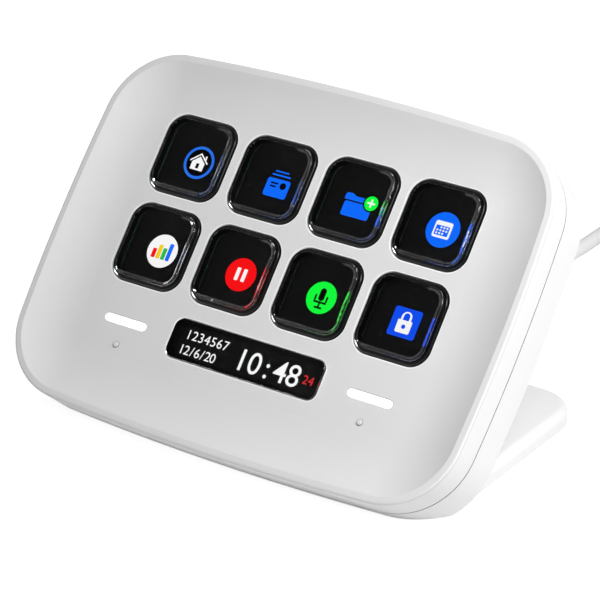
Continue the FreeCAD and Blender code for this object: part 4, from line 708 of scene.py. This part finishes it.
def cable_points():
    count = COIL_TURNS * COIL_LAYERS * POINTS_PER_TURN
    coil = [coil_place(n / POINTS_PER_TURN) for n in range(count + 1)]
    start = coil[0] - Vector((0, 2 * CORD_RADIUS, 0))
    top = COIL_MIDDLE + Vector((0, 0, coil[-1].z))
    end = COIL_MIDDLE + PLUG_OFFSET
    return [
        GLAND_TIP,
        GLAND_TIP + BACKWARDS * FIRST_RUN,
        *(Vector(place) * MM for place in DESK_ROUTE),
        start - Vector((0, LAST_RUN, 0)),
        start,
        *coil,
        coil[-1] + Vector((0, 2 * CORD_RADIUS, 0)),
        *(top + Vector(place) * MM for place in TAIL_ROUTE),
        end + Vector((0, TAIL_LAST_RUN, 0)),
        end,
    ]


def make_cable():
    points = cable_points()
    curve = bpy.data.curves.new("cable_cord", "CURVE")
    curve.dimensions = "3D"
    curve.resolution_u = 5
    curve.bevel_depth = CORD_RADIUS
    curve.bevel_resolution = 7
    curve.use_fill_caps = True
    spline = curve.splines.new("NURBS")
    spline.points.add(len(points) - 1)
    for point, place in zip(spline.points, points):
        point.co = (*place, 1)
    spline.order_u = 3
    spline.use_endpoint_u = True
    curve.materials.append(cord_sheath)
    piece = bpy.data.objects.new("cable_cord", curve)
    bpy.context.scene.collection.objects.link(piece)
    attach(piece, "base")
    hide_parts("cable", "cable_coil", "cable_tail")


make_cable()


# Floor, lamps and sky

FLOOR_HALF = 3.0
FLOOR_SHINE = 0.86
LIGHT_SIDE = Vector((0.75, 0.35, 0.55)).normalized()
CARD_SIDE = Vector((-0.508, -0.548, 0.665)).normalized()
OBJECT_MIDDLE = (0, 0, 0.04)


def make_floor():
    """A pale floor that shades like any surface, and shines white where it is looked at, mirrored or seen
    through glass."""
    corners = [(x * FLOOR_HALF, y * FLOOR_HALF, 0) for x, y in ((-1, -1), (1, -1), (1, 1), (-1, 1))]
    mesh = bpy.data.meshes.new("floor")
    mesh.from_pydata(corners, [], [(0, 1, 2, 3)])
    floor = bpy.data.objects.new("floor", mesh)
    bpy.context.scene.collection.objects.link(floor)
    shader = Shader("floor")
    shader.put(Base_Color=(0.75, 0.75, 0.75, 1), Roughness=0.8, Specular_IOR_Level=0.1)
    shine = shader.node("ShaderNodeEmission")
    shine.inputs["Color"].default_value = (1, 1, 1, 1)
    shine.inputs["Strength"].default_value = FLOOR_SHINE
    path = shader.node("ShaderNodeLightPath").outputs
    shiny = shader.math("MAXIMUM", path["Is Glossy Ray"], path["Is Transmission Ray"])
    seen = shader.math("MAXIMUM", path["Is Camera Ray"], shiny)
    both = shader.node("ShaderNodeAddShader")
    plain = shader.surface.outputs[0]
    shader.link(plain, both.inputs[0])
    shader.link(shine.outputs[0], both.inputs[1])
    shader.link(shader.mix(seen, plain, both.outputs[0]), shader.output.inputs["Surface"])
    mesh.materials.append(shader.material)


def softbox(name, place, target, width, height, power):
    lamp = bpy.data.lights.new(name, "AREA")
    lamp.shape = "RECTANGLE"
    lamp.size = width
    lamp.size_y = height
    lamp.energy = power
    box = bpy.data.objects.new(name, lamp)
    box.location = place
    box.rotation_euler = (Vector(target) - Vector(place)).to_track_quat("-Z", "Y").to_euler()
    bpy.context.scene.collection.objects.link(box)
    return box


def make_sky():
    """A white studio for what is looked at, mirrored or seen through glass, with a dark card where the key
    tops mirror it. The light that falls on the part is dimmer and comes more from the right."""
    world = bpy.data.worlds.new("studio")
    world.use_nodes = True
    sky = Nodes(world.node_tree)
    sky.tree.nodes.clear()
    place = sky.node("ShaderNodeTexCoord").outputs["Generated"]
    path = sky.node("ShaderNodeLightPath").outputs

    def background(strength=None):
        node = sky.node("ShaderNodeBackground")
        node.inputs["Color"].default_value = (1, 1, 1, 1)
        if strength is not None:
            sky.link(strength, node.inputs["Strength"])
        return node.outputs[0]

    toward_light, toward_card = sky.dot(place, LIGHT_SIDE), sky.dot(place, CARD_SIDE)
    brightness = sky.step(toward_light, -0.25, 0.8, 0.24, 0.46)
    light = background(sky.math("MULTIPLY", brightness, sky.step(toward_card, 0.75, 0.92, 1.0, 0.1)))
    mirrored = background(sky.step(toward_card, 0.0, 0.75, 1.0, 0.03))
    shiny = sky.math("MAXIMUM", path["Is Glossy Ray"], path["Is Transmission Ray"])
    seen = sky.mix(path["Is Camera Ray"], sky.mix(shiny, light, mirrored), background())
    sky.link(seen, sky.node("ShaderNodeOutputWorld").inputs["Surface"])
    bpy.context.scene.world = world


def light_only(lamp, names):
    """Keeps a lamp's light to these nodes."""
    lit = bpy.data.collections.new("caps")
    for name in names:
        lit.objects.link(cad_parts[name])
    lamp.light_linking.receiver_collection = lit


make_floor()
make_sky()
softbox("softbox_key", (0.22, -0.08, 0.28), (0, -0.01, 0.04), width=0.14, height=0.14, power=1.03)
glints = softbox("softbox_glints", (-0.90, -0.55, 0.12), OBJECT_MIDDLE, width=0.26, height=0.18, power=110.0)
light_only(glints, [*(f"key_{number}" for number in KEY_NUMBERS), "info_lens"])
